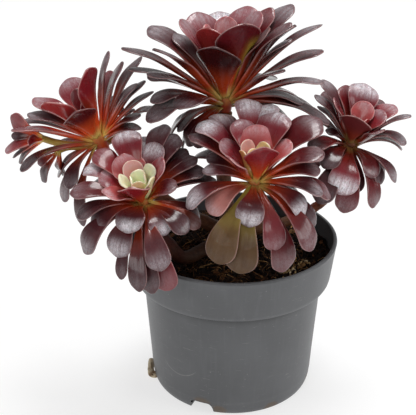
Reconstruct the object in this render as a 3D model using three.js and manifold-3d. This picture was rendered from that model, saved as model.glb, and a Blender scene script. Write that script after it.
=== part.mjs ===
// Potted aeonium: a branching succulent with five large rosettes of spoon-shaped leaves and three small
// side shoots, standing in soil in a round plastic nursery pot.
// Millimetres, +Z up. The origin is the centre of the pot's underside, and the front of the plant faces -Y.

import * as THREE from 'three';
import { mergeVertices } from 'three/addons/utils/BufferGeometryUtils.js';
import Module from 'manifold-3d';

const wasm = await Module();
wasm.setup();

// Driving dimensions.

// The clearance kept between two solids that touch.
const GAP = 0.3;

// The pot. Its outer wall runs up from the heel to the collar, whose lip is the widest part.
const POT = {
  height: 93.2,
  lipRadius: 60,
  wall: 1.4,
  floor: 1.6,
  heel: [[45.2, 0], [46.7, 1.5], [47.5, 4], [48, 8], [48.5, 17], [50.1, 40], [52.1, 68.6]],
  collarBottom: [56.5, 68.6],
  collarFoot: [57.3, 71],
  lipFoot: [59.7, 91],
  lipRound: 0.8,
  sides: 32,
};

// The drain notches cut the heel of the pot and the edge of its floor. Two of the six places are closed.
const NOTCH = {
  turns: [-112.9, -172.9, 127.1, 67.1],
  width: 14.5,
  height: 7,
  depth: 12,
  corner: 2,
};

// The soil, with its relief, and the hole that the trunk stands in.
const SOIL = {
  top: 83.5,
  rings: 6,
  mound: 0.8,
  moundRadius: 18,
  holeDepth: 20,
};

// The woody stem: a trunk and one branch for each large rosette, as points with a radius each.
// The last stretch of a branch follows the axis of its rosette.
const STEM = {
  sides: 7,
  step: 12,
  trunkRadius: 6.2,
  trunk: [[-2, -1, 64, 6.2], [-2, -1, 76, 6.2], [-2, -1, 86, 6], [-3, -1, 96, 5.2]],
  stretch: 8,
};
const BRANCHES = {
  rosette_top: [[-3, -1, 94, 4.8], [-4, 1, 112, 4.4], [-6, 3, 136, 4.2], [-5, 1, 154, 4]],
  rosette_left: [[-4, 0, 94, 4.2], [-24, 6, 102, 3.8], [-48, 6, 118, 3.4], [-64, -2, 136, 3.2]],
  rosette_front_left: [[-4, -2, 93, 4.4], [-16, -16, 91.5, 4], [-28, -28, 92, 3.9], [-36, -32, 103, 3.8],
    [-43, -37, 114, 3.6]],
  rosette_front: [[-1, -4, 94, 4.2], [5, -18, 100, 3.6], [9, -30, 112, 3.2], [10, -35, 124, 3.2]],
  rosette_right: [[0, 0, 94, 4], [28, 9, 95, 3.2], [51, 16, 104, 2.8], [61, 9, 122, 2.8]],
};

// The core that the leaves of a rosette grow from, a stub on the end of its branch.
const CORE = { foot: 3.6, below: 10, shoulder: 6, above: 2.5, sides: 8 };

// The twigs of the side shoots.
const TWIG = { sides: 6 };

// The leaves. The midrib is worked out in short steps, and a section stands at each station.
const LEAF = {
  steps: 64,
  stations: [0, 24, 44, 57, 64],
  smallStations: [0, 40, 64],
  smallWidth: 12,
  endPerWidth: 0.5,
  leastEnd: 0.16,
  mostEnd: 0.34,
  rise: 2.3,
  closing: 2.2,
  neck: 0.2,
  tipWidth: 0.25,
  leastThickness: 0.9,
  thicknessPerWidth: 0.07,
  mostThickness: 1.9,
  tipThickness: 0.6,
};

// The rings of a rosette. cup is how far the edges rise for each unit of half width, bend and tip are the
// degrees that the midrib curls over its whole length and near its end, low is how far below the hub the
// ring stands, and seat is how far from the axis its leaves start.
// A leaf is [turn about the axis, lean from the axis, length from the hub to the tip, width].
const ROSETTES = {
  rosette_top: {
    hub: [-5, 0, 177],
    axis: [0, 0, 1],
    core: 4.8,
    rings: [
      { cup: 0.45, bend: -15, tip: 0, low: 0, seat: 1.5, leaves: [
        [88, 20, 41, 13], [-33, 10, 36, 13], [207, 8, 35, 13], [150, 16, 38, 12]] },
      { cup: 0.34, bend: 0, tip: 15, low: 1, seat: 2.5, leaves: [
        [-106, 34, 39, 24], [-68, 27, 50, 24], [-126, 21, 43, 21], [-8, 31, 44, 20], [66, 34, 52, 19],
        [31, 24, 48, 19], [97, 39, 52, 20], [123, 34, 49, 20], [166, 30, 47, 20]] },
      { cup: 0.3, bend: 10, tip: 15, low: 3, seat: 3, leaves: [
        [40, 36, 55, 12], [37, 44, 64, 16], [50, 50, 58, 14], [-22, 40, 57, 17], [3, 50, 64, 9],
        [-6, 44, 48, 9], [8, 64, 58, 14], [-30, 58, 40, 14], [-150, 51, 53, 18], [151, 53, 58, 18],
        [142, 47, 46, 15], [180, 62, 61, 13], [-175, 70, 54, 12], [168, 76, 44, 12], [78, 62, 54, 16],
        [112, 64, 54, 16], [-14, 74, 54, 13], [16, 42, 53, 12], [-155, 66, 48, 13]] },
      { cup: 0.25, bend: 40, tip: 15, low: 5, seat: 3, leaves: [
        [30, 95, 48, 15], [-15, 96, 57, 13], [4, 96, 50, 13], [-10, 87, 42, 14], [-160, 82, 42, 13],
        [-132, 80, 37, 18], [-147, 91, 48, 20], [60, 90, 54, 16], [104, 94, 52, 15], [-6, 104, 36, 14]] },
      { cup: 0.25, bend: 50, tip: 15, low: 7, seat: 3.5, leaves: [
        [178, 120, 36, 14], [-176, 138, 36, 13], [24, 112, 40, 13], [-146, 126, 30, 14],
        [-126, 122, 30, 13], [-166, 114, 29, 13]] },
    ],
  },
  rosette_left: {
    hub: [-75, -8, 157],
    axis: [-0.42, -0.05, 0.9],
    core: 4.4,
    rings: [
      { cup: 0.45, bend: -15, tip: 0, low: 0, seat: 1.5, leaves: [
        [87, 14, 26, 10], [-33, 15, 22, 10], [208, 13, 22, 10]] },
      { cup: 0.36, bend: 0, tip: 10, low: 1, seat: 2.5, leaves: [
        [-38, 29, 44, 17], [-84, 42, 31, 19], [-122, 30, 38, 18], [103, 40, 38, 16], [34, 38, 45, 8],
        [154, 40, 40, 15]] },
      { cup: 0.3, bend: 10, tip: 15, low: 3, seat: 3, leaves: [
        [-161, 53, 46, 13], [170, 46, 40, 11], [160, 58, 44, 7], [23, 46, 43, 12], [8, 60, 37, 9],
        [38, 62, 51, 12], [50, 48, 38, 12], [14, 66, 40, 10], [12, 76, 39, 9], [0, 84, 27, 10],
        [98, 62, 42, 14], [135, 64, 42, 14], [66, 78, 40, 14]] },
      { cup: 0.25, bend: 40, tip: 15, low: 5, seat: 3, leaves: [
        [-157, 78, 45, 11], [-145, 114, 38, 12], [-126, 127, 47, 10], [-125, 102, 34, 10],
        [-167, 102, 30, 12], [-9, 92, 25, 11], [112, 92, 40, 14], [152, 92, 42, 13]] },
    ],
  },
  rosette_front_left: {
    hub: [-48, -40, 134],
    axis: [-0.15, -0.33, 0.93],
    core: 4.4,
    rings: [
      { cup: 0.5, bend: -25, tip: 0, low: 0, seat: 1.5, leaves: [
        [5, 13, 15, 8], [97, 14, 16, 8], [186, 13, 15, 8], [277, 14, 15, 8], [40, 28, 19, 9],
        [112, 30, 20, 11], [184, 28, 19, 9], [256, 27, 17, 9], [330, 28, 18, 9]] },
      { cup: 0.42, bend: -8, tip: 0, low: 1.5, seat: 2, leaves: [
        [118, 44, 26, 18], [70, 48, 30, 16], [160, 54, 26, 13], [20, 34, 26, 13], [-150, 48, 25, 13],
        [-100, 32, 24, 17]] },
      { cup: 0.3, bend: 20, tip: 30, low: 2, seat: 3, leaves: [
        [104, 53, 40, 16], [77, 59, 34, 15], [90, 66, 39, 14], [55, 62, 39, 15], [70, 62, 43, 13],
        [139, 57, 36, 13], [153, 64, 37, 13], [-174, 68, 38, 13], [-15, 60, 23, 13], [28, 71, 35, 13],
        [18, 79, 35, 12], [-27, 108, 33, 9], [54, 84, 30, 12], [44, 71, 35, 13]] },
      { cup: 0.25, bend: 50, tip: 20, low: 4, seat: 3, leaves: [
        [-106, 80, 26, 16], [-62, 97, 25, 13], [-117, 104, 34, 15], [-96, 113, 48, 10],
        [-89, 121, 48, 11], [-78, 106, 41, 13], [-77, 126, 48, 13], [-158, 78, 36, 11],
        [-112, 116, 42, 7], [58, 94, 34, 13], [100, 96, 34, 13], [142, 94, 38, 13], [22, 94, 40, 13],
        [-42, 100, 30, 12], [-8, 114, 30, 11], [174, 108, 32, 11]] },
      { cup: 0.25, bend: 80, tip: 15, low: 5, seat: 3, leaves: [
        [-143, 99, 41, 14], [-148, 88, 31, 14]] },
    ],
  },
  rosette_front: {
    hub: [10, -38, 144.5],
    axis: [0.03, -0.22, 0.975],
    core: 4.4,
    rings: [
      { cup: 0.5, bend: -25, tip: 0, low: 0, seat: 1.5, leaves: [
        [12, 10, 15, 7], [130, 12, 16, 7], [250, 10, 15, 7], [54, 23, 19, 9], [128, 24, 20, 9],
        [200, 23, 19, 9], [272, 20, 17, 9], [340, 23, 19, 9]] },
      { cup: 0.42, bend: -8, tip: 0, low: 1.5, seat: 2, leaves: [
        [87, 32, 28, 19], [-76, 22, 29, 18], [-150, 40, 25, 13], [20, 40, 27, 13], [158, 44, 27, 14]] },
      { cup: 0.3, bend: 15, tip: 30, low: 2, seat: 3, leaves: [
        [114, 42, 33, 14], [62, 43, 39, 18], [97, 50, 47, 15], [79, 49, 44, 14], [147, 56, 43, 14],
        [158, 64, 41, 12], [122, 61, 45, 14], [30, 56, 46, 19], [12, 70, 38, 14], [-12, 56, 40, 15],
        [-176, 76, 28, 12], [158, 74, 28, 12], [-18, 88, 36, 13], [4, 80, 34, 13], [48, 66, 42, 14]] },
      { cup: 0.25, bend: 50, tip: 20, low: 4, seat: 3, leaves: [
        [-46, 114, 46, 13], [-34, 101, 32, 13], [-98, 106, 28, 15], [-144, 104, 30, 16],
        [-160, 98, 39, 13], [-118, 122, 47, 17], [-101, 128, 48, 17], [-71, 120, 38, 13],
        [-64, 131, 48, 15], [74, 86, 36, 14], [142, 88, 38, 14], [-6, 96, 40, 14], [12, 118, 30, 11],
        [-24, 114, 38, 11]] },
    ],
  },
  rosette_right: {
    hub: [65, 0, 151],
    axis: [0.26, -0.08, 0.96],
    core: 4.2,
    rings: [
      { cup: 0.5, bend: -20, tip: 0, low: 0, seat: 1.5, leaves: [
        [72, 25, 22, 13], [-34, 14, 15, 8], [208, 14, 15, 8]] },
      { cup: 0.4, bend: -5, tip: 0, low: 1, seat: 2, leaves: [
        [-116, 34, 22, 19], [-38, 46, 21, 14], [26, 36, 24, 15], [166, 40, 26, 13]] },
      { cup: 0.3, bend: 10, tip: 20, low: 2, seat: 2.5, leaves: [
        [85, 36, 36, 18], [110, 45, 33, 13], [34, 46, 33, 14], [-9, 44, 36, 6], [140, 49, 38, 12],
        [164, 54, 33, 9], [156, 62, 27, 7], [180, 78, 16, 8], [58, 57, 35, 13], [122, 64, 35, 13]] },
      { cup: 0.25, bend: 45, tip: 20, low: 4, seat: 3, leaves: [
        [174, 106, 20, 11], [-156, 125, 25, 11], [-113, 122, 42, 13], [-98, 115, 36, 17],
        [-89, 126, 41, 13], [-76, 128, 28, 11], [-58, 104, 25, 13], [-58, 122, 38, 12],
        [-44, 110, 28, 9], [-36, 100, 33, 9], [-26, 112, 26, 10], [92, 84, 36, 13], [42, 88, 33, 13],
        [140, 88, 32, 13], [-144, 90, 31, 12], [-124, 103, 28, 12]] },
      { cup: 0.25, bend: 80, tip: 15, low: 4, seat: 3, leaves: [
        [-14, 66, 31, 11], [-2, 78, 29, 10]] },
    ],
  },
};

// The side shoots of the left rosette. Each stands on a twig that starts at the given point of the core.
const SHOOTS = [
  {
    hub: [-104, -8, 154.5],
    axis: [-0.93, -0.21, 0.31],
    twig: [[-73, -8, 152, 2.2], [-84, -9, 151, 2], [-96, -8, 152, 1.9]],
    rings: [
      { cup: 0.3, bend: 10, tip: 10, low: 1.2, seat: 1, leaves: [
        [100, 30, 22, 13], [-163, 36, 23, 11], [-165, 53, 22, 5], [-170, 68, 24, 6], [158, 30, 19, 5],
        [-60, 40, 12, 7]] },
    ],
  },
  {
    hub: [-96, -12, 148.5],
    axis: [-0.86, -0.43, -0.29],
    twig: [[-73, -8, 150, 2.2], [-82, -9, 150, 1.9], [-90, -10, 150, 1.7]],
    rings: [
      { cup: 0.3, bend: 20, tip: 10, low: 1.2, seat: 1, leaves: [
        [-88, 54, 23, 8], [-49, 76, 14, 12], [-110, 36, 15, 5], [-62, 88, 23, 5]] },
    ],
  },
  {
    hub: [-63, 6, 160],
    axis: [0.1, 0, 1],
    twig: [[-73, -7, 150, 2], [-67, 0, 151, 1.8], [-63.5, 5, 155, 1.6]],
    rings: [
      { cup: 0.3, bend: 10, tip: 10, low: 1.2, seat: 1, leaves: [
        [-8, 58, 22, 11], [170, 25, 11, 4], [30, 50, 11, 4], [90, 14, 9, 4]] },
    ],
  },
];

// A root that has grown from the soil through a drain notch and back along the heel, as points with a
// radius each.
const ROOT = {
  sides: 6,
  step: 3.5,
  route: [[-34.75, -5.6, 4, 1.5], [-40.5, -7.8, 3.2, 1.6], [-45.6, -10, 2.6, 1.7], [-48.6, -9.6, 2.4, 1.7],
    [-49.2, -6.4, 3.2, 1.6], [-49.4, -2.8, 4.3, 1.5], [-49.4, 1, 5.4, 1.3]],
};

// Materials.

const MATERIALS = {
  pot: new THREE.MeshStandardMaterial({ color: 0x5a5c60, roughness: 0.5, metalness: 0 }),
  soil: new THREE.MeshStandardMaterial({ color: 0x2c221b, roughness: 0.95, metalness: 0 }),
  stem: new THREE.MeshStandardMaterial({ color: 0x8a5a38, roughness: 0.8, metalness: 0 }),
  root: new THREE.MeshStandardMaterial({ color: 0xb8a88a, roughness: 0.8, metalness: 0 }),
  leaf: new THREE.MeshStandardMaterial({ color: 0x6e2a38, roughness: 0.55, metalness: 0 }),
};

// Solids and meshes.

function solidFrom(positions, triangles) {
  return new wasm.Manifold(new wasm.Mesh({
    numProp: 3,
    vertProperties: Float32Array.from(positions),
    triVerts: Uint32Array.from(triangles),
  }));
}

// A closed three.js geometry as a solid: shared corners are merged and flat triangles at a pole dropped.
function solidOf(geometry) {
  const bare = geometry.clone();
  bare.deleteAttribute('normal');
  bare.deleteAttribute('uv');
  const merged = mergeVertices(bare, 1e-4);
  const index = merged.index.array;
  const kept = [];
  for (let i = 0; i < index.length; i += 3) {
    const [a, b, c] = [index[i], index[i + 1], index[i + 2]];
    if (a !== b && b !== c && c !== a) {
      kept.push(a, b, c);
    }
  }
  return solidFrom(merged.attributes.position.array, kept);
}

function joined(solids) {
  return wasm.Manifold.union(solids);
}

// The largest body of a solid, so that pockets closed in by the joining are filled.
function largestBody(solid) {
  return solid.decompose().reduce((most, body) => (body.volume() > most.volume() ? body : most));
}

function meshOf(name, solid, material) {
  const source = solid.getMesh();
  const geometry = new THREE.BufferGeometry();
  geometry.setAttribute('position', new THREE.BufferAttribute(source.vertProperties, 3));
  geometry.setIndex(new THREE.BufferAttribute(source.triVerts, 1));
  geometry.computeVertexNormals();
  const mesh = new THREE.Mesh(geometry, material);
  mesh.name = name;
  return mesh;
}

// A profile of [radius, height] pairs, from the axis back to the axis, turned about +Z.
function turned(profile, sides) {
  const points = profile.map(([radius, height]) => new THREE.Vector2(radius, height));
  return new THREE.LatheGeometry(points, sides).rotateX(Math.PI / 2);
}

// A limb: round sections carried along a smooth curve through points of [x, y, z, radius].
function limb(points, sides, step) {
  const curve = new THREE.CatmullRomCurve3(points.map(([x, y, z]) => new THREE.Vector3(x, y, z)));
  const steps = Math.max(points.length, Math.round(curve.getLength() / step));
  const frames = curve.computeFrenetFrames(steps);
  const positions = [];
  const triangles = [];
  for (let i = 0; i <= steps; i += 1) {
    const along = (i / steps) * (points.length - 1);
    const from = Math.min(Math.floor(along), points.length - 2);
    const radius = THREE.MathUtils.lerp(points[from][3], points[from + 1][3], along - from);
    const centre = curve.getPoint(i / steps);
    for (let j = 0; j < sides; j += 1) {
      const angle = (j / sides) * 2 * Math.PI;
      const corner = centre.clone()
        .addScaledVector(frames.normals[i], radius * Math.cos(angle))
        .addScaledVector(frames.binormals[i], radius * Math.sin(angle));
      positions.push(...corner.toArray());
    }
  }
  for (let i = 0; i < steps; i += 1) {
    for (let j = 0; j < sides; j += 1) {
      const a = i * sides + j;
      const b = i * sides + (j + 1) % sides;
      triangles.push(a, b, b + sides, a, b + sides, a + sides);
    }
  }
  const last = steps * sides;
  for (let j = 1; j < sides - 1; j += 1) {
    triangles.push(0, j + 1, j, last, last + j, last + j + 1);
  }
  return solidFrom(positions, triangles);
}

// Pot.

function potProfile() {
  const inward = ([radius, height]) => [radius - POT.wall, height];
  const outer = [...POT.heel, POT.collarBottom, POT.collarFoot, POT.lipFoot,
    [POT.lipRadius, POT.height - POT.lipRound], [POT.lipRadius - POT.lipRound, POT.height]];
  const inner = [
    [POT.lipRadius - POT.wall - POT.lipRound, POT.height],
    [POT.lipRadius - POT.wall - POT.lipRound, POT.height - POT.lipRound],
    inward(POT.collarFoot),
    [POT.collarBottom[0] - POT.wall, POT.collarBottom[1] + POT.wall],
    [POT.heel.at(-1)[0] - POT.wall, POT.collarBottom[1] + POT.wall],
    ...POT.heel.slice(2, -1).reverse().map(inward),
    [POT.heel[1][0] - POT.wall, POT.floor + 1],
    [POT.heel[0][0] - POT.wall, POT.floor],
  ];
  return { outer, inner };
}

// One drain notch: an arch-topped block that passes through the heel and the edge of the floor.
function notchSolid(turn) {
  const half = NOTCH.width / 2;
  const arch = new THREE.Shape();
  arch.moveTo(-half, -1);
  arch.lineTo(half, -1);
  arch.lineTo(half, NOTCH.height - NOTCH.corner);
  arch.lineTo(half - NOTCH.corner, NOTCH.height);
  arch.lineTo(-half + NOTCH.corner, NOTCH.height);
  arch.lineTo(-half, NOTCH.height - NOTCH.corner);
  const block = new THREE.ExtrudeGeometry(arch, { depth: NOTCH.depth + 4, bevelEnabled: false });
  block.rotateX(Math.PI / 2);
  block.rotateZ(Math.PI / 2);
  const inside = POT.heel[2][0] - NOTCH.depth;
  block.translate(inside, 0, 0);
  block.rotateZ(THREE.MathUtils.degToRad(turn));
  return solidOf(block);
}

function potSolid() {
  const { outer, inner } = potProfile();
  const shell = solidOf(turned([[0, 0], ...outer, ...inner, [0, POT.floor]], POT.sides));
  return shell.subtract(joined(NOTCH.turns.map(notchSolid)));
}

// Soil.

// The height of the soil's surface: low waves, a mound round the trunk and a fall towards the wall.
function relief(x, y) {
  const reach = Math.hypot(x, y);
  const waves = 0.8 * Math.sin(0.31 * x + 0.7) * Math.cos(0.27 * y - 0.4)
    + 0.6 * Math.sin(0.55 * x - 0.43 * y + 1.9) + 0.4 * Math.cos(0.8 * x + 0.66 * y);
  const mound = SOIL.mound * Math.exp(-((reach / SOIL.moundRadius) ** 2));
  return waves + mound - 1.2 * (reach / POT.lipRadius) ** 4;
}

function soilProfile() {
  const [, brim, ...wall] = potProfile().inner;
  const side = wall.map(([radius, height]) => [radius - GAP, height]);
  const rimRadius = THREE.MathUtils.mapLinear(SOIL.top, wall[0][1], brim[1], wall[0][0], brim[0]) - GAP;
  const top = Array.from({ length: SOIL.rings }, (_, i) => [rimRadius * (i / (SOIL.rings - 1)), SOIL.top]);
  side[1][1] += GAP;
  side[2][1] += GAP;
  // The soil ends above the drain notches, so they stay open.
  const shoulder = NOTCH.height + GAP;
  const foot = POT.heel[2][0] - NOTCH.depth - GAP;
  const body = side.filter(([, height]) => height > shoulder + 0.5);
  return [...top, ...body, [body.at(-1)[0] - 0.2, shoulder], [foot, shoulder], [foot - 1, POT.floor + GAP],
    [0, POT.floor + GAP]].reverse();
}

function soilSolid() {
  const geometry = turned(soilProfile(), POT.sides);
  const position = geometry.attributes.position;
  for (let i = 0; i < position.count; i += 1) {
    if (position.getZ(i) > SOIL.top - 0.01) {
      position.setZ(i, SOIL.top + relief(position.getX(i), position.getY(i)));
    }
  }
  const [x, y] = STEM.trunk[0];
  const radius = STEM.trunkRadius + 2 * GAP;
  const hole = new THREE.CylinderGeometry(radius, radius, 2 * SOIL.holeDepth, 2 * STEM.sides);
  hole.rotateX(Math.PI / 2).translate(x, y, SOIL.top);
  return solidOf(geometry).subtract(solidOf(hole));
}

// Stem.

function pointBelow(rosette, distance, radius) {
  const axis = new THREE.Vector3(...rosette.axis).normalize();
  const point = new THREE.Vector3(...rosette.hub).addScaledVector(axis, -distance);
  return [point.x, point.y, point.z, radius];
}

function stemSolid() {
  const branches = Object.entries(BRANCHES).map(([name, points]) => {
    const rosette = ROSETTES[name];
    const radius = points.at(-1)[3];
    const end = CORE.below + GAP + 0.1;
    const last = [pointBelow(rosette, end + STEM.stretch, radius), pointBelow(rosette, end, radius)];
    return limb([...points, ...last], STEM.sides, STEM.step);
  });
  return joined([limb(STEM.trunk, STEM.sides, STEM.step), ...branches]);
}

// Rosettes.

// The outline of a leaf: its half width at u from root to tip, as a share of the greatest. The end past
// the broadest place is about as long as half the width, so that it is round.
function outline(u, width, length) {
  const end = THREE.MathUtils.clamp((LEAF.endPerWidth * width) / length, LEAF.leastEnd, LEAF.mostEnd);
  const broadest = 1 - end;
  if (u < broadest) {
    return LEAF.neck + (1 - LEAF.neck) * Math.sin((Math.PI / 2) * (u / broadest) ** LEAF.rise);
  }
  const past = (u - broadest) / end;
  return Math.max(LEAF.tipWidth, Math.sqrt(Math.max(0, 1 - past ** LEAF.closing)));
}

// The midrib in the plane of the axis and the leaf: an arc that curls by bend, and by tip near its end,
// scaled and turned so that it runs from the seat to the tip. Each point holds its slope from the axis.
function midrib(ring, lean, length) {
  const along = length * Math.cos(lean);
  const out = length * Math.sin(lean) - ring.seat;
  const curl = (w) => THREE.MathUtils.degToRad(ring.bend * (w - 0.5)
    + ring.tip * Math.max(0, (w - 0.55) / 0.45) ** 2);
  const points = [{ a: 0, b: 0, slope: curl(0) }];
  for (let i = 1; i <= LEAF.steps; i += 1) {
    const slope = curl(i / LEAF.steps);
    const before = points.at(-1);
    points.push({
      a: before.a + (Math.cos(before.slope) + Math.cos(slope)) / 2,
      b: before.b + (Math.sin(before.slope) + Math.sin(slope)) / 2,
      slope,
    });
  }
  const end = points.at(-1);
  const scale = Math.hypot(along, out) / Math.hypot(end.a, end.b);
  const turn = Math.atan2(out, along) - Math.atan2(end.b, end.a);
  return points.map(({ a, b, slope }) => ({
    a: scale * (a * Math.cos(turn) - b * Math.sin(turn)),
    b: scale * (a * Math.sin(turn) + b * Math.cos(turn)),
    slope: slope + turn,
  }));
}

// One leaf: sections of four corners, the two edges and the middle of each face, joined along the midrib.
function leafSolid(rosette, ring, [turn, lean, length, width]) {
  const { axis, side, front } = rosette.frame;
  const angle = THREE.MathUtils.degToRad(turn);
  const outward = side.clone().multiplyScalar(Math.cos(angle)).addScaledVector(front, Math.sin(angle));
  const across = axis.clone().cross(outward);
  const root = new THREE.Vector3(...rosette.hub).addScaledVector(axis, -ring.low)
    .addScaledVector(outward, ring.seat);
  const line = midrib(ring, THREE.MathUtils.degToRad(lean), length);
  const stations = width < LEAF.smallWidth ? LEAF.smallStations : LEAF.stations;
  const body = Math.min(LEAF.mostThickness, LEAF.leastThickness + LEAF.thicknessPerWidth * width);
  const positions = [];
  stations.forEach((station) => {
    const u = station / LEAF.steps;
    const { a, b, slope } = line[station];
    const middle = root.clone().addScaledVector(axis, a).addScaledVector(outward, b);
    const upward = axis.clone().multiplyScalar(Math.sin(slope)).addScaledVector(outward, -Math.cos(slope));
    const half = (width / 2) * outline(u, width, length);
    const thick = THREE.MathUtils.lerp(body, Math.min(body, 2 * LEAF.tipThickness), u) / 2;
    const edge = middle.clone().addScaledVector(upward, ring.cup * half);
    positions.push(
      ...edge.clone().addScaledVector(across, -half).toArray(),
      ...middle.clone().addScaledVector(upward, thick).toArray(),
      ...edge.clone().addScaledVector(across, half).toArray(),
      ...middle.clone().addScaledVector(upward, -thick).toArray(),
    );
  });
  return solidFrom(positions, leafTriangles(stations.length));
}

// The triangles of a leaf. Both faces are split along the same diagonals, from the edges to the midrib.
function leafTriangles(count) {
  const triangles = [];
  for (let i = 0; i < count - 1; i += 1) {
    const [left, top, right, under] = [4 * i, 4 * i + 1, 4 * i + 2, 4 * i + 3];
    const [left2, top2, right2, under2] = [left + 4, top + 4, right + 4, under + 4];
    triangles.push(left, top2, top, left, left2, top2);
    triangles.push(right, top, top2, right, top2, right2);
    triangles.push(right, under2, under, right, right2, under2);
    triangles.push(left, under, under2, left, under2, left2);
  }
  const end = 4 * (count - 1);
  triangles.push(0, 1, 3, 1, 2, 3, end, end + 3, end + 1, end + 1, end + 3, end + 2);
  return triangles;
}

// The directions of a rosette: its axis, the side nearest +X and the direction a quarter turn on from it.
function frameOf(rosette) {
  const axis = new THREE.Vector3(...rosette.axis).normalize();
  const side = new THREE.Vector3(1, 0, 0).addScaledVector(axis, -axis.x).normalize();
  return { axis, side, front: axis.clone().cross(side) };
}

function coreSolid(rosette, radius) {
  const profile = [[0, -CORE.below], [CORE.foot, -CORE.below], [radius, -CORE.shoulder],
    [0.95 * radius, 0], [0.6 * radius, 0.7 * CORE.above], [0, CORE.above]];
  const stub = turned(profile, CORE.sides);
  const turn = new THREE.Quaternion().setFromUnitVectors(new THREE.Vector3(0, 0, 1), rosette.frame.axis);
  return solidOf(stub.applyQuaternion(turn).translate(...rosette.hub));
}

function leavesOf(rosette) {
  return rosette.rings.flatMap((ring) => ring.leaves.map((leaf) => leafSolid(rosette, ring, leaf)));
}

function shootSolids(shoot) {
  const rosette = { ...shoot, frame: frameOf(shoot) };
  const twig = [...shoot.twig, [...shoot.hub, shoot.twig.at(-1)[3]]];
  return [limb(twig, TWIG.sides, STEM.step), ...leavesOf(rosette)];
}

function rosetteSolid(name) {
  const rosette = { ...ROSETTES[name], frame: frameOf(ROSETTES[name]) };
  const solids = [coreSolid(rosette, rosette.core), ...leavesOf(rosette)];
  if (name === 'rosette_left') {
    solids.push(...SHOOTS.flatMap(shootSolids));
  }
  return largestBody(joined(solids));
}

// Assembly.

const aeonium = new THREE.Group();
aeonium.add(meshOf('pot', potSolid(), MATERIALS.pot));
aeonium.add(meshOf('soil', soilSolid(), MATERIALS.soil));
aeonium.add(meshOf('stem', stemSolid(), MATERIALS.stem));
aeonium.add(meshOf('drain_root', limb(ROOT.route, ROOT.sides, ROOT.step), MATERIALS.root));
Object.keys(ROSETTES).forEach((name) => {
  aeonium.add(meshOf(name, rosetteSolid(name), MATERIALS.leaf));
});

export default aeonium;
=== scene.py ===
"""Potted aeonium: the finished look of the plant, its soil and its pot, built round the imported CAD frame.

Lengths in the tables are millimetres in the pot's frame: +Z up, origin under the middle of the pot, front -Y.
"""

import math

import bpy
import numpy as np
from bpy.props import FloatProperty, FloatVectorProperty, IntProperty, PointerProperty
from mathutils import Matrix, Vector


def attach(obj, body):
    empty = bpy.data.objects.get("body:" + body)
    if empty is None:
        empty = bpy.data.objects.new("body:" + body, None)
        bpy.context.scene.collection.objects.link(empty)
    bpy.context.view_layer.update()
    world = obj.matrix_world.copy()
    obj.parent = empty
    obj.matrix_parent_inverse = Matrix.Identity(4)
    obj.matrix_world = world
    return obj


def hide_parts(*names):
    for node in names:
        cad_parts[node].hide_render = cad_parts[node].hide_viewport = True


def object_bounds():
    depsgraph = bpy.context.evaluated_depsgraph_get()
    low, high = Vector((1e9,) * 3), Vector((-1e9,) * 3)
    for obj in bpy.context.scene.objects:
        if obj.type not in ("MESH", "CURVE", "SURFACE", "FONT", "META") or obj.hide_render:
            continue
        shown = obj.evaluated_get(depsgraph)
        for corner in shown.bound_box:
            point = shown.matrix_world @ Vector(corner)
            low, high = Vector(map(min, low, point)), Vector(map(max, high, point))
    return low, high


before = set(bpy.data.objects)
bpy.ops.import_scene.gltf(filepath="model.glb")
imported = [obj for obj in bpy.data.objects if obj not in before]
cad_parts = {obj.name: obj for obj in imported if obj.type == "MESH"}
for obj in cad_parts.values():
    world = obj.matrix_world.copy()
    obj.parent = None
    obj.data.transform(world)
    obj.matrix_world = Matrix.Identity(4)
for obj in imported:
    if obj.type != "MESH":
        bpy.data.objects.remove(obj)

bl_info = {
    "name": "Potted Aeonium",
    "version": (1, 0, 0),
    "blender": (4, 5, 0),
    "location": "3D View > Sidebar > Aeonium",
    "description": "Builds a branching aeonium with its soil, stems and nursery pot",
    "category": "Add Mesh",
}

MM = 0.001
BOX = np.array(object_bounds(), float) / MM

# The pot: heel, wall, collar and lip upwards and the inside down again, as [radius, height, corner radius].
POT_PROFILE = [
    [45.2, 0, 0.7], [46.7, 1.5, 0.8], [47.5, 4, 1], [48, 8, 2], [48.5, 17, 4], [50.1, 40, 8], [51.6, 62, 2],
    [51.9, 66, 1], [52.1, 68.6, 0.4], [56.6, 68.6, 0.6], [57.2, 70.6, 0.8], [59.7, 91, 1.5], [60, 92.4, 0.3],
    [59.2, 93.2, 0.3], [57.8, 93.2, 0.3], [57.8, 92.4, 0.5], [55.9, 71, 1], [55.1, 70, 0.4], [50.7, 70, 0.5],
    [48.7, 40, 8], [47.1, 17, 4], [46.6, 8, 2], [46.1, 4, 1], [45.3, 2.6, 0.8], [43.8, 1.6, 0.7],
]
# The radii of the heel and the rim, the one that the wall lies within, and those that the collar's edge and
# the lip lie past.
HEEL, RIM = 48, 60
WALL, COLLAR_EDGE, LIP = 53, 55.5, 58.5
# The heights of the pot's bands of painted light and shade.
BANDS = {"under_collar": 68.7, "collar_edge": 69.6, "foot_line": 8.4, "lip": 93.2}
# The drain notches, in degrees, with the radii that their cutter spans and the reach of its round shoulders.
NOTCHES = {"turns": [-112.9, -172.9, 127.1, 67.1], "inside": 35.5, "outside": 52, "shoulder": (3.4, 4.6)}
# Dirt on the pot, as [turn, height, reach]: where soil has rubbed off round the notches and the root.
DIRT = [[-172, 9, 7], [-112, 6, 6], [-100, 3, 5], [-8, 8, 5], [-16, 3, 6], [-62, 2, 5], [127, 7, 7],
        [67, 7, 6]]
# A curved scratch low on the pot: the part below the top of a circle about a point of the wall.
SCRATCH = {"centre": (-32, -38.4, 38), "radius": 16, "half_width": 0.5, "top": (24, 29)}
# The layers of pale specks in the plastic, as (how close they lie, how large they are).
SPECKS = [(0.21, 0.1), (0.37, 0.12)]

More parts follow.
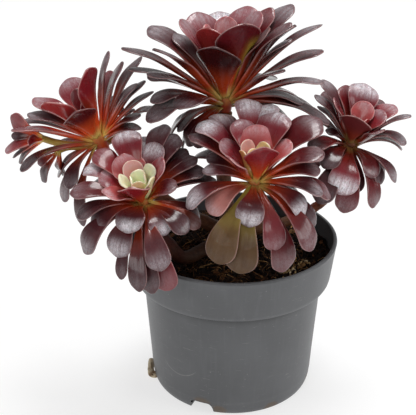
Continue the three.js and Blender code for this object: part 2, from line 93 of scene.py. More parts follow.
# The soil, as [radius, height] from the middle of its underside to the edge of its surface.
SOIL_SIDE = [[34.2, 1.9], [35.2, 7.3], [46.2, 7.3], [46.4, 8.2], [46.8, 17], [48.4, 40], [50.4, 69.7],
             [54.8, 69.7], [55.6, 71], [56.6, 83.2]]
SOIL_TOP = 83.5
# How far from the middle of the soil its crumbs, chips, pale bits, fibres and the fibres' ends may lie.
REACH = {"crumbs": 55.2, "chips": 53, "pale": 54, "fibres": 50, "fibre_ends": 54.5}
# Heaps of pale bits on the soil, as [x, y, reach, count].
PALE_HEAPS = [[30, -28, 7, 40], [38, -20, 6, 26], [16, -44, 6, 14], [-20, 36, 7, 20]]
# The sRGB colours of what lies on the soil, each with its share.
CRUMB_DYES = [((28, 18, 13), 0.4), ((52, 33, 21), 0.3), ((84, 56, 36), 0.1), ((18, 12, 10), 0.2)]
CHIP_DYES = [((96, 62, 36), 0.45), ((60, 38, 24), 0.4), ((140, 104, 66), 0.15)]
PALE_DYES = [((196, 168, 120), 0.5), ((160, 124, 80), 0.35), ((214, 196, 160), 0.15)]
FIBRE_DYES = [((120, 82, 48), 0.5), ((70, 46, 30), 0.3), ((168, 130, 86), 0.2)]

# The woody stem, as points of [x, y, z, radius]. Each branch ends under the hub of its rosette.
TRUNK = [[-2, -1, 64, 6.2], [-2, -1, 76, 6.2], [-2, -1, 86, 6], [-3, -1, 96, 5.2]]
BRANCHES = {
    "rosette_top": [[-3, -1, 94, 4.8], [-4, 1, 112, 4.4], [-6, 3, 136, 4.2], [-5, 1, 154, 4]],
    "rosette_left": [[-4, 0, 94, 4.2], [-24, 6, 102, 3.8], [-48, 6, 118, 3.4], [-64, -2, 136, 3.2]],
    "rosette_front_left": [[-4, -2, 93, 4.4], [-16, -16, 91.5, 4], [-28, -28, 92, 3.9], [-36, -32, 103, 3.8],
                           [-43, -37, 114, 3.6]],
    "rosette_front": [[-1, -4, 94, 4.2], [5, -18, 100, 3.6], [9, -30, 112, 3.2], [10, -35, 124, 3.2]],
    "rosette_right": [[0, 0, 94, 4], [28, 9, 95, 3.2], [51, 16, 104, 2.8], [61, 9, 122, 2.8]],
}
# How far under the hub of its rosette, along the rosette's axis, a branch passes and then ends.
UNDER_HUB = [18.4, 10.4]
# Painted light and shade on each branch's colour: those in front are darker as they stand in the shade of
# their leaves, and the right one is painted lighter.
SHADES = {"rosette_top": 0.9, "rosette_left": 1, "rosette_front_left": 0.45, "rosette_front": 0.55,
          "rosette_right": 1.2}
# The trunk's painted shade.
TRUNK_SHADE = 0.7

# The root that grows out of a drain notch and back along the heel, as points of [x, y, z, radius].
ROOT = [[-34.75, -5.6, 4, 1.5], [-40.5, -7.8, 3.2, 1.6], [-45.6, -10, 2.6, 1.7], [-48.6, -9.6, 2.4, 1.7],
        [-49.2, -6.4, 3.2, 1.6], [-49.4, -2.8, 4.3, 1.5], [-49.4, 1, 5.4, 1.3]]

# A leaf's tones, as the sRGB colours of its upper face and its underside, how much pale bloom its end has and
# how strong its pale edge is. The pale bloom is waxy bloom with a painted sheen of the light above,
# and frost in the notes below means that bloom and sheen.
TONES = {
    "d": ((68, 29, 33), (48, 12, 14), 0.15, 0.26),  # dark
    "m": ((90, 28, 32), (82, 16, 20), 0.2, 0.3),  # maroon
    "n": ((88, 22, 24), (86, 16, 19), 0.0, 0.55),  # maroon without gloss
    "c": ((118, 28, 34), (120, 24, 32), 0.15, 0.55),  # crimson
    "r": ((146, 46, 42), (146, 42, 42), 0.15, 0.55),  # red
    "p": ((136, 44, 52), (110, 26, 32), 0.38, 0.55),  # rose
    "q": ((108, 36, 42), (88, 28, 32), 0.2, 0.3),  # wine
    "v": ((86, 32, 22), (78, 22, 18), 0.15, 0.3),  # brown
    # Tone a: its golden strip is painted light shining through one side of the leaf.
    "a": ((90, 28, 32), (88, 18, 24), 0.2, 0.55),  # maroon with a golden strip
    "g": ((84, 42, 46), (60, 24, 27), 0.35, 0.28),  # dark, dusted
    "e": ((84, 38, 43), (66, 24, 28), 0.75, 0.34),  # dark, frosted
    "f": ((116, 28, 38), (80, 20, 25), 0.85, 0.55),  # crimson, frosted
    "w": ((114, 30, 40), (80, 22, 27), 1.0, 0.55),  # crimson, white with frost
    "o": ((86, 60, 31), (80, 57, 31), 0.05, 0.34),  # olive
    "k": ((182, 118, 110), (150, 92, 82), 0.3, 0.55),  # faded pink
    "h": ((176, 78, 78), (146, 46, 48), 0.45, 0.75),  # pink, near a heart
    "z": ((218, 156, 146), (204, 124, 110), 0.35, 0.95),  # pale pink, at a heart
    "s": ((232, 204, 140), (214, 160, 96), 0.1, 0.95),  # cream, at a heart
    "y": ((246, 250, 212), (234, 222, 170), 0.1, 0.95),  # pale green, at a heart
}
# Tones whose leaves have a pointed tip, bloom and painted sheen from nearer the root, no gloss, or are young.
HABITS = {"pointed": "dmgec", "early": "we", "matt": "oknv", "young": "yzs"}
# The root and the neck of young and of olive leaves. The other leaves have those of their rosette.
NECKS = {
    "y": ((222, 234, 158), (238, 246, 190)),
    "z": ((200, 208, 130), (226, 186, 140)),
    "s": ((206, 190, 84), (226, 184, 96)),
    "o": ((150, 132, 52), (150, 132, 52)),
}
# The root and the neck of a leaf in a rosette without glow, and the two ends of a twig.
DULL_ROOT, DULL_NECK = (92, 44, 22), (80, 14, 11)
TWIG_DYES = (158, 92, 40), (176, 150, 66)

# How much bloom and painted sheen lies on a leaf at full frost, and how far inside the solids' box
# the leaves stay.
FULL_FROST_AND_SHEEN, INSET = 1.08, 0.05

# A rosette has its hub, its axis, how brightly the necks of its leaves glow, their own colour brightened by a
# painted glow of light shining through them, the radius of its core, and rings. A ring is its shape, a letter
# of
# TONES for each leaf, and the leaves as [turn, lean, length, width].
# In its shape, cup is how far the edges rise for each unit of half width, bend and tip are the degrees that
# the midrib curls over its length and near its end, low is how far below the hub the ring stands, and seat is
# how far from the axis its leaves start.
SHAPE = ("cup", "bend", "tip", "low", "seat")
ROSETTES = {
    "rosette_top": {
        "hub": [-5, 0, 177], "axis": [0, 0, 1], "glow": 0.56, "core": 4.8, "rings": [
            ([0.45, -15, 0, 0, 1.5], "hhph", [
                [88, 20, 41, 13], [-33, 10, 36, 13], [207, 8, 35, 13], [150, 16, 38, 12]]),
            ([0.34, 0, 15, 1, 2.5], "darvppwpp", [
                [-106, 34, 39, 24], [-68, 27, 50, 24], [-126, 21, 43, 21], [-8, 31, 44, 20],
                [66, 34, 52, 19], [31, 24, 48, 19], [97, 39, 52, 20], [123, 34, 49, 20],
                [166, 30, 47, 20]]),
            ([0.3, 10, 15, 3, 3], "cggdggmddggdddmmgmd", [
                [40, 36, 55, 12], [37, 44, 64, 16], [50, 50, 58, 14], [-22, 40, 57, 17], [3, 50, 64, 9],
                [-6, 44, 48, 9], [8, 64, 58, 14], [-30, 58, 40, 14], [-150, 51, 53, 18],
                [151, 53, 58, 18], [142, 47, 46, 15], [180, 62, 61, 13], [-175, 70, 54, 12],
                [168, 76, 44, 12], [78, 62, 54, 16], [112, 64, 54, 16], [-14, 74, 54, 13],
                [16, 42, 53, 12], [-155, 66, 48, 13]]),
            ([0.25, 40, 15, 5, 3], "dddddddddd", [
                [30, 95, 48, 15], [-15, 96, 57, 13], [4, 96, 50, 13], [-10, 87, 42, 14],
                [-160, 82, 42, 13], [-132, 80, 37, 18], [-147, 91, 48, 20], [60, 90, 54, 16],
                [104, 94, 52, 15], [-6, 104, 36, 14]]),
            ([0.25, 50, 15, 7, 3.5], "dddddd", [
                [178, 120, 36, 14], [-176, 138, 36, 13], [24, 112, 40, 13], [-146, 126, 30, 14],
                [-126, 122, 30, 13], [-166, 114, 29, 13]]),
        ],
    },
    "rosette_left": {
        "hub": [-75, -8, 157], "axis": [-0.42, -0.05, 0.9], "glow": 1.0, "core": 4.4, "rings": [
            ([0.45, -15, 0, 0, 1.5], "ccr", [
                [87, 14, 26, 10], [-33, 15, 22, 10], [208, 13, 22, 10]]),
            ([0.36, 0, 10, 1, 2.5], "cmrpgp", [
                [-38, 29, 44, 17], [-84, 42, 31, 19], [-122, 30, 38, 18], [103, 40, 38, 16],
                [34, 38, 45, 8], [154, 40, 40, 15]]),
            ([0.3, 10, 15, 3, 3], "cggmgdcdddmmd", [
                [-161, 53, 46, 13], [170, 46, 40, 11], [160, 58, 44, 7], [23, 46, 43, 12], [8, 60, 37, 9],
                [38, 62, 51, 12], [50, 48, 38, 12], [14, 66, 40, 10], [12, 76, 39, 9], [0, 84, 27, 10],
                [98, 62, 42, 14], [135, 64, 42, 14], [66, 78, 40, 14]]),
            ([0.25, 40, 15, 5, 3], "dgdddddd", [
                [-157, 78, 45, 11], [-145, 114, 38, 12], [-126, 127, 47, 10], [-125, 102, 34, 10],
                [-167, 102, 30, 12], [-9, 92, 25, 11], [112, 92, 40, 14], [152, 92, 42, 13]]),
        ],
    },
    "rosette_front_left": {
        "hub": [-48, -40, 134], "axis": [-0.15, -0.33, 0.93], "glow": 0.66, "core": 4.4, "rings": [
            ([0.5, -25, 0, 0, 1.5], "yyyyyzyzy", [
                [5, 13, 15, 8], [97, 14, 16, 8], [186, 13, 15, 8], [277, 14, 15, 8], [40, 28, 19, 9],
                [112, 30, 20, 11], [184, 28, 19, 9], [256, 27, 17, 9], [330, 28, 18, 9]]),
            ([0.42, -8, 0, 1.5, 2], "hwpphc", [
                [118, 44, 26, 18], [70, 48, 30, 16], [160, 54, 26, 13], [20, 34, 26, 13],
                [-150, 48, 25, 13], [-100, 32, 24, 17]]),
            ([0.3, 20, 30, 2, 3], "fwwggcwmmddvdd", [
                [104, 53, 40, 16], [77, 59, 34, 15], [90, 66, 39, 14], [55, 62, 39, 15], [70, 62, 43, 13],
                [139, 57, 36, 13], [153, 64, 37, 13], [-174, 68, 38, 13], [-15, 60, 23, 13],
                [28, 71, 35, 13], [18, 79, 35, 12], [-27, 108, 33, 9], [54, 84, 30, 12], [44, 71, 35, 13]]),
            ([0.25, 50, 20, 4, 3], "eeeddgqddddddddd", [
                [-106, 80, 26, 16], [-62, 97, 25, 13], [-117, 104, 34, 15], [-96, 113, 48, 10],
                [-89, 121, 48, 11], [-78, 106, 41, 13], [-77, 126, 48, 13], [-158, 78, 36, 11],
                [-112, 116, 42, 7], [58, 94, 34, 13], [100, 96, 34, 13], [142, 94, 38, 13],
                [22, 94, 40, 13], [-42, 100, 30, 12], [-8, 114, 30, 11], [174, 108, 32, 11]]),
            ([0.25, 80, 15, 5, 3], "gg", [
                [-143, 99, 41, 14], [-148, 88, 31, 14]]),
        ],
    },
    "rosette_front": {
        "hub": [10, -38, 144.5], "axis": [0.03, -0.22, 0.975], "glow": 0.58, "core": 4.4, "rings": [
            ([0.5, -25, 0, 0, 1.5], "ssyszszs", [
                [12, 10, 15, 7], [130, 12, 16, 7], [250, 10, 15, 7], [54, 23, 19, 9], [128, 24, 20, 9],
                [200, 23, 19, 9], [272, 20, 17, 9], [340, 23, 19, 9]]),
            ([0.42, -8, 0, 1.5, 2], "hcphp", [
                [87, 32, 28, 19], [-76, 22, 29, 18], [-150, 40, 25, 13], [20, 40, 27, 13],
                [158, 44, 27, 14]]),
            ([0.3, 15, 30, 2, 3], "pfwwwmwmgmgdgmd", [
                [114, 42, 33, 14], [62, 43, 39, 18], [97, 50, 47, 15], [79, 49, 44, 14],
                [147, 56, 43, 14], [158, 64, 41, 12], [122, 61, 45, 14], [30, 56, 46, 19],
                [12, 70, 38, 14], [-12, 56, 40, 15], [-176, 76, 28, 12], [158, 74, 28, 12],
                [-18, 88, 36, 13], [4, 80, 34, 13], [48, 66, 42, 14]]),
            ([0.25, 50, 20, 4, 3], "meekeooqmddmdd", [
                [-46, 114, 46, 13], [-34, 101, 32, 13], [-98, 106, 28, 15], [-144, 104, 30, 16],
                [-160, 98, 39, 13], [-118, 122, 47, 17], [-101, 128, 48, 17], [-71, 120, 38, 13],
                [-64, 131, 48, 15], [74, 86, 36, 14], [142, 88, 38, 14], [-6, 96, 40, 14],
                [12, 118, 30, 11], [-24, 114, 38, 11]]),
        ],
    },
    "rosette_right": {
        "hub": [65, 0, 151], "axis": [0.26, -0.08, 0.96], "glow": 0.15, "core": 4.2, "rings": [
            ([0.5, -20, 0, 0, 1.5], "hhh", [
                [72, 25, 22, 13], [-34, 14, 15, 8], [208, 14, 15, 8]]),
            ([0.4, -5, 0, 1, 2], "nmpc", [
                [-116, 34, 22, 19], [-38, 46, 21, 14], [26, 36, 24, 15], [166, 40, 26, 13]]),
            ([0.3, 10, 20, 2, 2.5], "wcpggggdmm", [
                [85, 36, 36, 18], [110, 45, 33, 13], [34, 46, 33, 14], [-9, 44, 36, 6], [140, 49, 38, 12],
                [164, 54, 33, 9], [156, 62, 27, 7], [180, 78, 16, 8], [58, 57, 35, 13], [122, 64, 35, 13]]),
            ([0.25, 45, 20, 4, 3], "dmdwmdmmdgddddmd", [
                [174, 106, 20, 11], [-156, 125, 25, 11], [-113, 122, 42, 13], [-98, 115, 36, 17],
                [-89, 126, 41, 13], [-76, 128, 28, 11], [-58, 104, 25, 13], [-58, 122, 38, 12],
                [-44, 110, 28, 9], [-36, 100, 33, 9], [-26, 112, 26, 10], [92, 84, 36, 13],
                [42, 88, 33, 13], [140, 88, 32, 13], [-144, 90, 31, 12], [-124, 103, 28, 12]]),
            ([0.25, 80, 15, 4, 3], "gd", [
                [-14, 66, 31, 11], [-2, 78, 29, 10]]),
        ],
    },
}

# The side shoots of the left rosette, each with the twig that it stands on.
SHOOTS = [
    {
        "hub": [-104, -8, 154.5], "axis": [-0.93, -0.21, 0.31], "glow": 0.9,
        "twig": [[-73, -8, 152, 2.2], [-84, -9, 151, 2], [-96, -8, 152, 1.9]], "rings": [
            ([0.3, 10, 10, 1.2, 1], "cpdddc", [
                [100, 30, 22, 13], [-163, 36, 23, 11], [-165, 53, 22, 5], [-170, 68, 24, 6],
                [158, 30, 19, 5], [-60, 40, 12, 7]]),
        ],
    },
    {
        "hub": [-96, -12, 148.5], "axis": [-0.86, -0.43, -0.29], "glow": 0.6,
        "twig": [[-73, -8, 150, 2.2], [-82, -9, 150, 1.9], [-90, -10, 150, 1.7]], "rings": [
            ([0.3, 20, 10, 1.2, 1], "ddmd", [
                [-88, 54, 23, 8], [-49, 76, 14, 12], [-110, 36, 15, 5], [-62, 88, 23, 5]]),
        ],
    },
    {
        "hub": [-63, 6, 160], "axis": [0.1, 0, 1], "glow": 0.7,
        "twig": [[-73, -7, 150, 2], [-67, 0, 151, 1.8], [-63.5, 5, 155, 1.6]], "rings": [
            ([0.3, 10, 10, 1.2, 1], "gmmm", [
                [-8, 58, 22, 11], [170, 25, 11, 4], [30, 50, 11, 4], [90, 14, 9, 4]]),
        ],
    },
]

CAMERA = {"place": (-14.28, -471.9, 327.9), "down": 24.83, "lens": 78.96, "sensor": 36}
LIGHTS = [
    {"name": "key", "place": (300, 500, 2900), "size": 1.3, "power": 50},
    {"name": "front", "place": (-1500, -2900, 2100), "size": 2, "power": 28},
    {"name": "side", "place": (2600, -900, 1500), "size": 1.6, "power": 26},
]
LIT_PLACE = (0, 0, 120)
FLOOR_HALF = 6000


# Numbers and colours.

def smooth(low, high, x):
    """The smooth step: 0 below low, 1 above high, and a cubic with flat ends between them."""
    t = np.clip((np.asarray(x, float) - low) / (high - low), 0, 1)
    return t * t * (3 - 2 * t)


def bell(x, reach):
    """1 at x = 0 and falling away to both sides, as e to the power of minus the square of x over reach."""
    return np.exp(-(x / reach) ** 2)


def turned(angle):
    """An angle brought to between -pi and pi."""
    return np.angle(np.exp(1j * angle))


def linear(colour):
    """An sRGB colour from 0 to 255 as linear light with an alpha of 1."""
    c = np.asarray(colour, float) / 255
    c = np.where(c <= 0.04045, c / 12.92, ((c + 0.055) / 1.055) ** 2.4)
    return np.concatenate([c, [1.0]])


def mix(a, b, share):
    """a and b mixed by share, which has no colour axis."""
    share = np.asarray(share)[..., None]
    return a * (1 - share) + b * share


def waves(points, length, seed, count=7):
    """The sum of a few plane sine waves of about that wave length, in seeded directions, scaled so that it
    stays mostly within -1 to 1."""
    rng = np.random.default_rng(seed)
    way = rng.normal(size=(count, 3))
    way *= (2 * math.pi / length * rng.uniform(0.6, 1.5, count) / np.linalg.norm(way, axis=1))[:, None]
    return np.sin(points @ way.T + rng.uniform(0, 2 * math.pi, count)).sum(-1) / math.sqrt(count) / 1.6


def unit(vector):
    """A vector, or each row of an array of them, brought to length 1."""
    vector = np.asarray(vector, float)
    return vector / np.linalg.norm(vector, axis=-1, keepdims=True)


# Parts: dicts of points, quads, triangles and values on the points.

def bands(rows, columns):
    """The quads between rings of points that each close on themselves."""
    i, j = np.meshgrid(np.arange(rows - 1), np.arange(columns), indexing="ij")
    a, b = i * columns + j, i * columns + (j + 1) % columns
    return np.stack([a, b, b + columns, a + columns], -1).reshape(-1, 4)


def skin(rings, start, end, **values):
    """A closed skin over a grid of points: the second parameter runs round each ring, the first from ring to
    ring, and a pole closes it at each end. values are on the grid, and a pole takes its ring's mean."""
    rows, columns = rings.shape[:2]
    around = np.arange(columns)
    after = (around + 1) % columns
    first, last, top = rows * columns, rows * columns + 1, (rows - 1) * columns
    part = {
        "points": np.vstack([rings.reshape(-1, 3), start, end]),
        "quads": bands(rows, columns),
        "triangles": np.vstack([
            np.stack([np.full(columns, first), after, around], -1),
            np.stack([np.full(columns, last), top + around, top + after], -1),
        ]),
    }
    for key, value in values.items():
        value = np.broadcast_to(value, (rows, columns) + np.shape(value)[2:])
        flat = value.reshape((rows * columns,) + value.shape[2:])
        part[key] = np.concatenate([flat, value[0].mean(0)[None], value[-1].mean(0)[None]])
    return part


def copies(shape, faces, turns, sizes, places, **values):
    """Many copies of one small shape: its points times a size and a turn for each copy, and moved."""
    points = np.einsum("nij,nkj->nki", turns, shape[None] * sizes[:, None, :]) + places[:, None, :]
    count, corners = len(places), len(shape)
    triangles = (faces[None] + corners * np.arange(count)[:, None, None]).reshape(-1, 3)
    part = {"points": points.reshape(-1, 3), "quads": np.zeros((0, 4), int), "triangles": triangles}
    for key, value in values.items():
        part[key] = np.repeat(value, corners, axis=0)
    return part


def merged(parts):
    """Parts joined into one."""
    starts = np.cumsum([0] + [len(part["points"]) for part in parts[:-1]])
    faces = ("quads", "triangles")
    whole = {key: np.concatenate([part[key] for part in parts]) for key in parts[0] if key not in faces}
    for key in faces:
        whole[key] = np.concatenate([part[key] + start for part, start in zip(parts, starts)])
    return whole


def piece(name, part, material, flat_above=None):
    """A mesh object from a part, at the origin, with the part's values as point attributes."""
    mesh = bpy.data.meshes.new(name)
    corners = np.concatenate([part["quads"].ravel(), part["triangles"].ravel()])
    sizes = np.concatenate([np.full(len(part["quads"]), 4), np.full(len(part["triangles"]), 3)])
    mesh.vertices.add(len(part["points"]))
    mesh.vertices.foreach_set("co", (part["points"] * MM).astype(np.float32).ravel())
    mesh.loops.add(len(corners))
    mesh.loops.foreach_set("vertex_index", corners.astype(np.int32))
    mesh.polygons.add(len(sizes))
    mesh.polygons.foreach_set("loop_start", (np.cumsum(sizes) - sizes).astype(np.int32))
    mesh.update(calc_edges=True)
    mesh.shade_smooth()
    if flat_above is not None:
        mesh.set_sharp_from_angle(angle=math.radians(flat_above))
    kinds = {1: ("FLOAT", "value"), 3: ("FLOAT_VECTOR", "vector"), 4: ("FLOAT_COLOR", "color")}
    for key in part:
        if key in ("points", "quads", "triangles"):
            continue
        value = part[key].reshape(len(part["points"]), -1)
        kind, field = kinds[value.shape[1]]
        mesh.attributes.new(key, kind, "POINT").data.foreach_set(field, value.astype(np.float32).ravel())
    if mesh.validate():
        raise ValueError(f"the mesh of {name} isn't sound")
    mesh.materials.append(material)
    made = bpy.data.objects.new(name, mesh)
    bpy.context.scene.collection.objects.link(made)
    return made


def tie_in(made, slot, *nodes):
    """The piece rides on the one body and stands for the nodes, which it hides. The slot is not used."""
    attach(made, "root")
    if nodes:
        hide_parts(*nodes)


# Materials.

class Shader:
    """A material with one Principled BSDF, and short ways to add the nodes that feed it."""

    def __init__(self, name, **inputs):
        self.material = bpy.data.materials.new(name)
        self.material.use_nodes = True
        self.tree = self.material.node_tree
        self.surface = next(n for n in self.tree.nodes if n.type == "BSDF_PRINCIPLED")
        self.fill(self.surface, inputs)

    def fill(self, node, inputs):
        """Link each input that is a socket, and set the others."""
        for key, value in inputs.items():
            socket = node.inputs[key]
            if isinstance(value, bpy.types.NodeSocket):
                self.tree.links.new(value, socket)
            else:
                socket.default_value = value

    def add(self, kind, inputs, output=0, **settings):
        """A new node's output."""
        node = self.tree.nodes.new(kind)
        for key, value in settings.items():
            setattr(node, key, value)
        self.fill(node, inputs)
        return node.outputs[output]

    def value(self, name, output="Color"):
        """A value that the mesh carries on its points."""
        return self.add("ShaderNodeAttribute", {}, output, attribute_name=name)

    def place(self):
        """Object coordinates in millimetres."""
        place = self.add("ShaderNodeTexCoord", {}, "Object")
        return self.scaled(place, (1 / MM, 1 / MM, 1 / MM))

    def scaled(self, vector, scale):
        """The vector times a scale for each axis."""
        return self.add("ShaderNodeVectorMath", {0: vector, 1: scale}, operation="MULTIPLY")

    def noise(self, vector, scale, detail=3, roughness=0.55, distortion=0):
        """Fractal noise from 0 to 1, by one scale or by one for each axis."""
        if isinstance(scale, tuple):
            vector, scale = self.scaled(vector, scale), 1
        inputs = {"Vector": vector, "Scale": scale, "Detail": detail, "Roughness": roughness,
                  "Distortion": distortion}
        return self.add("ShaderNodeTexNoise", inputs)

    def ramp(self, value, low, high, start=0.0, end=1.0):
        """The value from low to high mapped smoothly to start and end."""
        inputs = {"Value": value, "From Min": low, "From Max": high, "To Min": start, "To Max": end}
        return self.add("ShaderNodeMapRange", inputs, interpolation_type="SMOOTHSTEP")

    def times(self, a, b):
        """The product of two values."""
        return self.add("ShaderNodeMath", {0: a, 1: b}, operation="MULTIPLY")

    def plus(self, a, b):
        """The sum of two values."""
        return self.add("ShaderNodeMath", {0: a, 1: b}, operation="ADD")

    def blend(self, share, a, b, way="MIX"):
        """Colour a with colour b over it by share."""
        inputs = {0: share, 6: a, 7: b}
        return self.add("ShaderNodeMix", inputs, 2, data_type="RGBA", blend_type=way)

    def dyed(self, colour, red, green, blue):
        """The colour with each channel times a factor."""
        return self.blend(1.0, colour, (red, green, blue, 1), "MULTIPLY")

    def bump(self, height, strength, distance):
        """The relief of the surface."""
        inputs = {"Height": height, "Strength": strength, "Distance": distance}
        self.fill(self.surface, {"Normal": self.add("ShaderNodeBump", inputs)})


def leaf_material(settings):
    """A waxy leaf: its tint with faint streaks along it, a pale bloom near its end that carries a painted
    sheen, and a wrinkled gloss.
    """
    wax = Shader("aeonium_leaf", **{
        "IOR": 1.45, "Specular IOR Level": 0.3, "Subsurface Weight": 0.12, "Subsurface Scale": 0.0012,
        "Subsurface Radius": (1.0, 0.25, 0.2), "Coat Roughness": 0.11,
    })
    blade = wax.value("blade", "Vector")
    bloom = wax.value("bloom", "Fac")
    streak = wax.noise(blade, (1.9, 0.1, 1), 4)
    mottle = wax.noise(blade, (0.2, 0.12, 1), 3)
    grain = wax.noise(blade, (3.6, 2.6, 1), 2)
    band = wax.noise(blade, (0.5, 0.04, 1), 2)
    wrinkle = wax.noise(blade, (1.3, 0.7, 1), 3, 0.5, 1.2)
    tint = wax.value("tint")
    tone = wax.blend(wax.ramp(streak, 0.45, 0.8, 0, 0.2), tint, wax.dyed(tint, 1.3, 1.2, 1.2))
    tone = wax.blend(wax.ramp(mottle, 0.4, 0.7, 0, 0.5), tone, wax.dyed(tone, 0.66, 0.56, 0.58))
    ridge = wax.ramp(wrinkle, 0.34, 0.6, 0.5, 1)
    ridge = wax.times(ridge, wax.ramp(band, 0.35, 0.6, 0.72, 1.2))
    cover = wax.times(bloom, wax.times(ridge, wax.ramp(grain, 0.3, 0.6, 0.86, 1)))
    # The pale bloom colour is mixed in as waxy bloom together with a painted sheen of the light above.
    colour = wax.blend(cover, tone, tuple(settings.bloom))
    rough = wax.plus(wax.ramp(mottle, 0.3, 0.7, 0.2, 0.3), wax.times(bloom, 0.2))
    gloss = wax.value("gloss", "Fac")
    rough = wax.plus(rough, wax.ramp(gloss, 0.2, 1, 0.35, 0))
    coat = wax.times(gloss, wax.ramp(streak, 0.35, 0.65, 0.1, 0.6))
    wax.fill(wax.surface, {"Base Color": colour, "Roughness": rough, "Coat Weight": coat})
    ripple = wax.plus(wax.times(wrinkle, wax.plus(wax.times(bloom, 1.2), 0.2)), wax.times(grain, 0.15))
    wax.bump(ripple, 0.6, 0.0003)
    return wax.material


def pot_material(settings):
    """Satin recycled plastic: a dusty grey with fine flow lines, scuffs, pale specks, a curved scratch and
    dirt near the foot, with painted shade under the collar and painted light in pale bands on the collar's
    edge, above the foot and on the lip."""
    grey = Shader("pot_plastic", **{"IOR": 1.48, "Specular IOR Level": 0.42, "Coat Weight": 0.0})
    place = grey.place()
    cloud = grey.noise(place, 0.035, 4)
    flow = grey.noise(place, (0.5, 0.5, 0.02), 4)
    fine = grey.noise(place, 2.4, 3)
    scuff = grey.noise(place, (0.12, 0.12, 2.2), 2, 0.5, 0.4)
    plastic = np.array(settings.plastic)
    worn = (0.3, 0.3, 0.29, 1)
    base = grey.blend(grey.ramp(cloud, 0.35, 0.7), tuple(plastic), tuple(1.16 * plastic))
    base = grey.blend(grey.ramp(flow, 0.5, 0.75, 0, 0.3), base, tuple(1.4 * plastic))
    scuffed = grey.times(grey.ramp(scuff, 0.67, 0.73), grey.ramp(fine, 0.4, 0.6, 0.1, 0.5))
    base = grey.blend(scuffed, base, worn)
    for scale, size in SPECKS:
        base = grey.blend(speck(grey, place, scale, size), base, worn)
    scratched = grey.times(scratch(grey, place), grey.ramp(fine, 0.35, 0.6, 0.1, 0.6))
    base = grey.blend(scratched, base, worn)
    dirt = grey.value("dirt", "Fac")
    soiled = grey.ramp(grey.plus(dirt, grey.times(grey.noise(place, 1.5, 5, 0.7), 0.9)), 0.75, 1.05)
    base = grey.blend(grey.times(soiled, 0.6), base, tuple(settings.dirt))
    # Painted light and shade: the bands from shading, and the shade inside the notches, multiply the colour.
    base = grey.blend(1.0, base, grey.value("shade"), "MULTIPLY")
    rough = grey.plus(grey.ramp(fine, 0.3, 0.7, 0.38, 0.48), grey.times(soiled, 0.3))
    grey.fill(grey.surface, {"Base Color": base, "Roughness": rough})
    grey.bump(grey.plus(grey.times(fine, 0.5), flow), 0.25, 0.00012)
    return grey.material


def speck(grey, place, scale, size):
    """Where a layer of specks is: the middles of some of the cells of a random pattern of cells."""
    inputs = {"Vector": place, "Scale": scale, "Randomness": 1.0}
    spot = grey.ramp(grey.add("ShaderNodeTexVoronoi", inputs, "Distance"), 0.5 * size, size, 1, 0)
    chosen = grey.ramp(grey.add("ShaderNodeTexVoronoi", inputs, "Color"), 0.68, 0.76, 0, 0.55)
    return grey.times(spot, chosen)


def scratch(grey, place):
    """Where the scratch is: near its radius from its centre, and below its top."""
    apart = grey.add("ShaderNodeVectorMath", {0: place, 1: SCRATCH["centre"]}, "Value", operation="DISTANCE")
    radius, half = SCRATCH["radius"], SCRATCH["half_width"]
    line = grey.times(grey.ramp(apart, radius - half, radius), grey.ramp(apart, radius, radius + half, 1, 0))
    height = grey.add("ShaderNodeSeparateXYZ", {0: place}, "Z")
    return grey.times(line, grey.ramp(height, *SCRATCH["top"], 1, 0))


def soil_material():
    """Moist peat: dark crumbs with brown fibre and small pale bits, all rough."""
    peat = Shader("soil", **{"IOR": 1.4, "Specular IOR Level": 0.25, "Roughness": 0.9})
    place = peat.place()
    tint = peat.value("tint")
    lump = peat.noise(place, 0.5, 5)
    fine = peat.noise(place, 2.2, 4)
    base = peat.blend(peat.ramp(lump, 0.4, 0.65), peat.dyed(tint, 0.45, 0.42, 0.4), tint)
    base = peat.blend(peat.ramp(fine, 0.6, 0.75, 0, 0.6), base, peat.dyed(tint, 2.2, 1.9, 1.6))
    peat.fill(peat.surface, {"Base Color": base})
    peat.bump(peat.plus(lump, fine), 0.8, 0.0006)
    return peat.material


def bark_material(name, roughness):
    """Woody skin: its tint with lengthwise fibres, pale cork and darker cracks."""
    bark = Shader(name, **{"IOR": 1.45, "Specular IOR Level": 0.35, "Roughness": roughness})
    blade = bark.value("blade", "Vector")
    tint = bark.value("tint")
    fibre = bark.noise(blade, (1.6, 0.35, 1), 4)
    patch = bark.noise(blade, (0.35, 0.3, 1), 4)
    base = bark.blend(bark.ramp(fibre, 0.35, 0.6, 0.7, 0), tint, bark.dyed(tint, 0.45, 0.35, 0.3))
    base = bark.blend(bark.ramp(patch, 0.55, 0.75, 0, 0.5), base, bark.dyed(tint, 1.5, 1.4, 1.35))
    bark.fill(bark.surface, {"Base Color": base})
    bark.bump(bark.plus(fibre, patch), 0.6, 0.0004)
    return bark.material


def floor_material(settings):
    """A plain pale floor that glows a little, like a light table."""
    pale = Shader("studio_floor", **{
        "Roughness": 0.85, "Specular IOR Level": 0.1, "Emission Color": (1, 1, 1, 1),
        "Emission Strength": settings.glow,
    })
    cloud = pale.noise(pale.place(), 0.002, 2)
    floor = np.array(settings.floor)
    pale.fill(pale.surface, {"Base Color": pale.blend(cloud, tuple(0.98 * floor), tuple(floor))})
    return pale.material


# Pot.

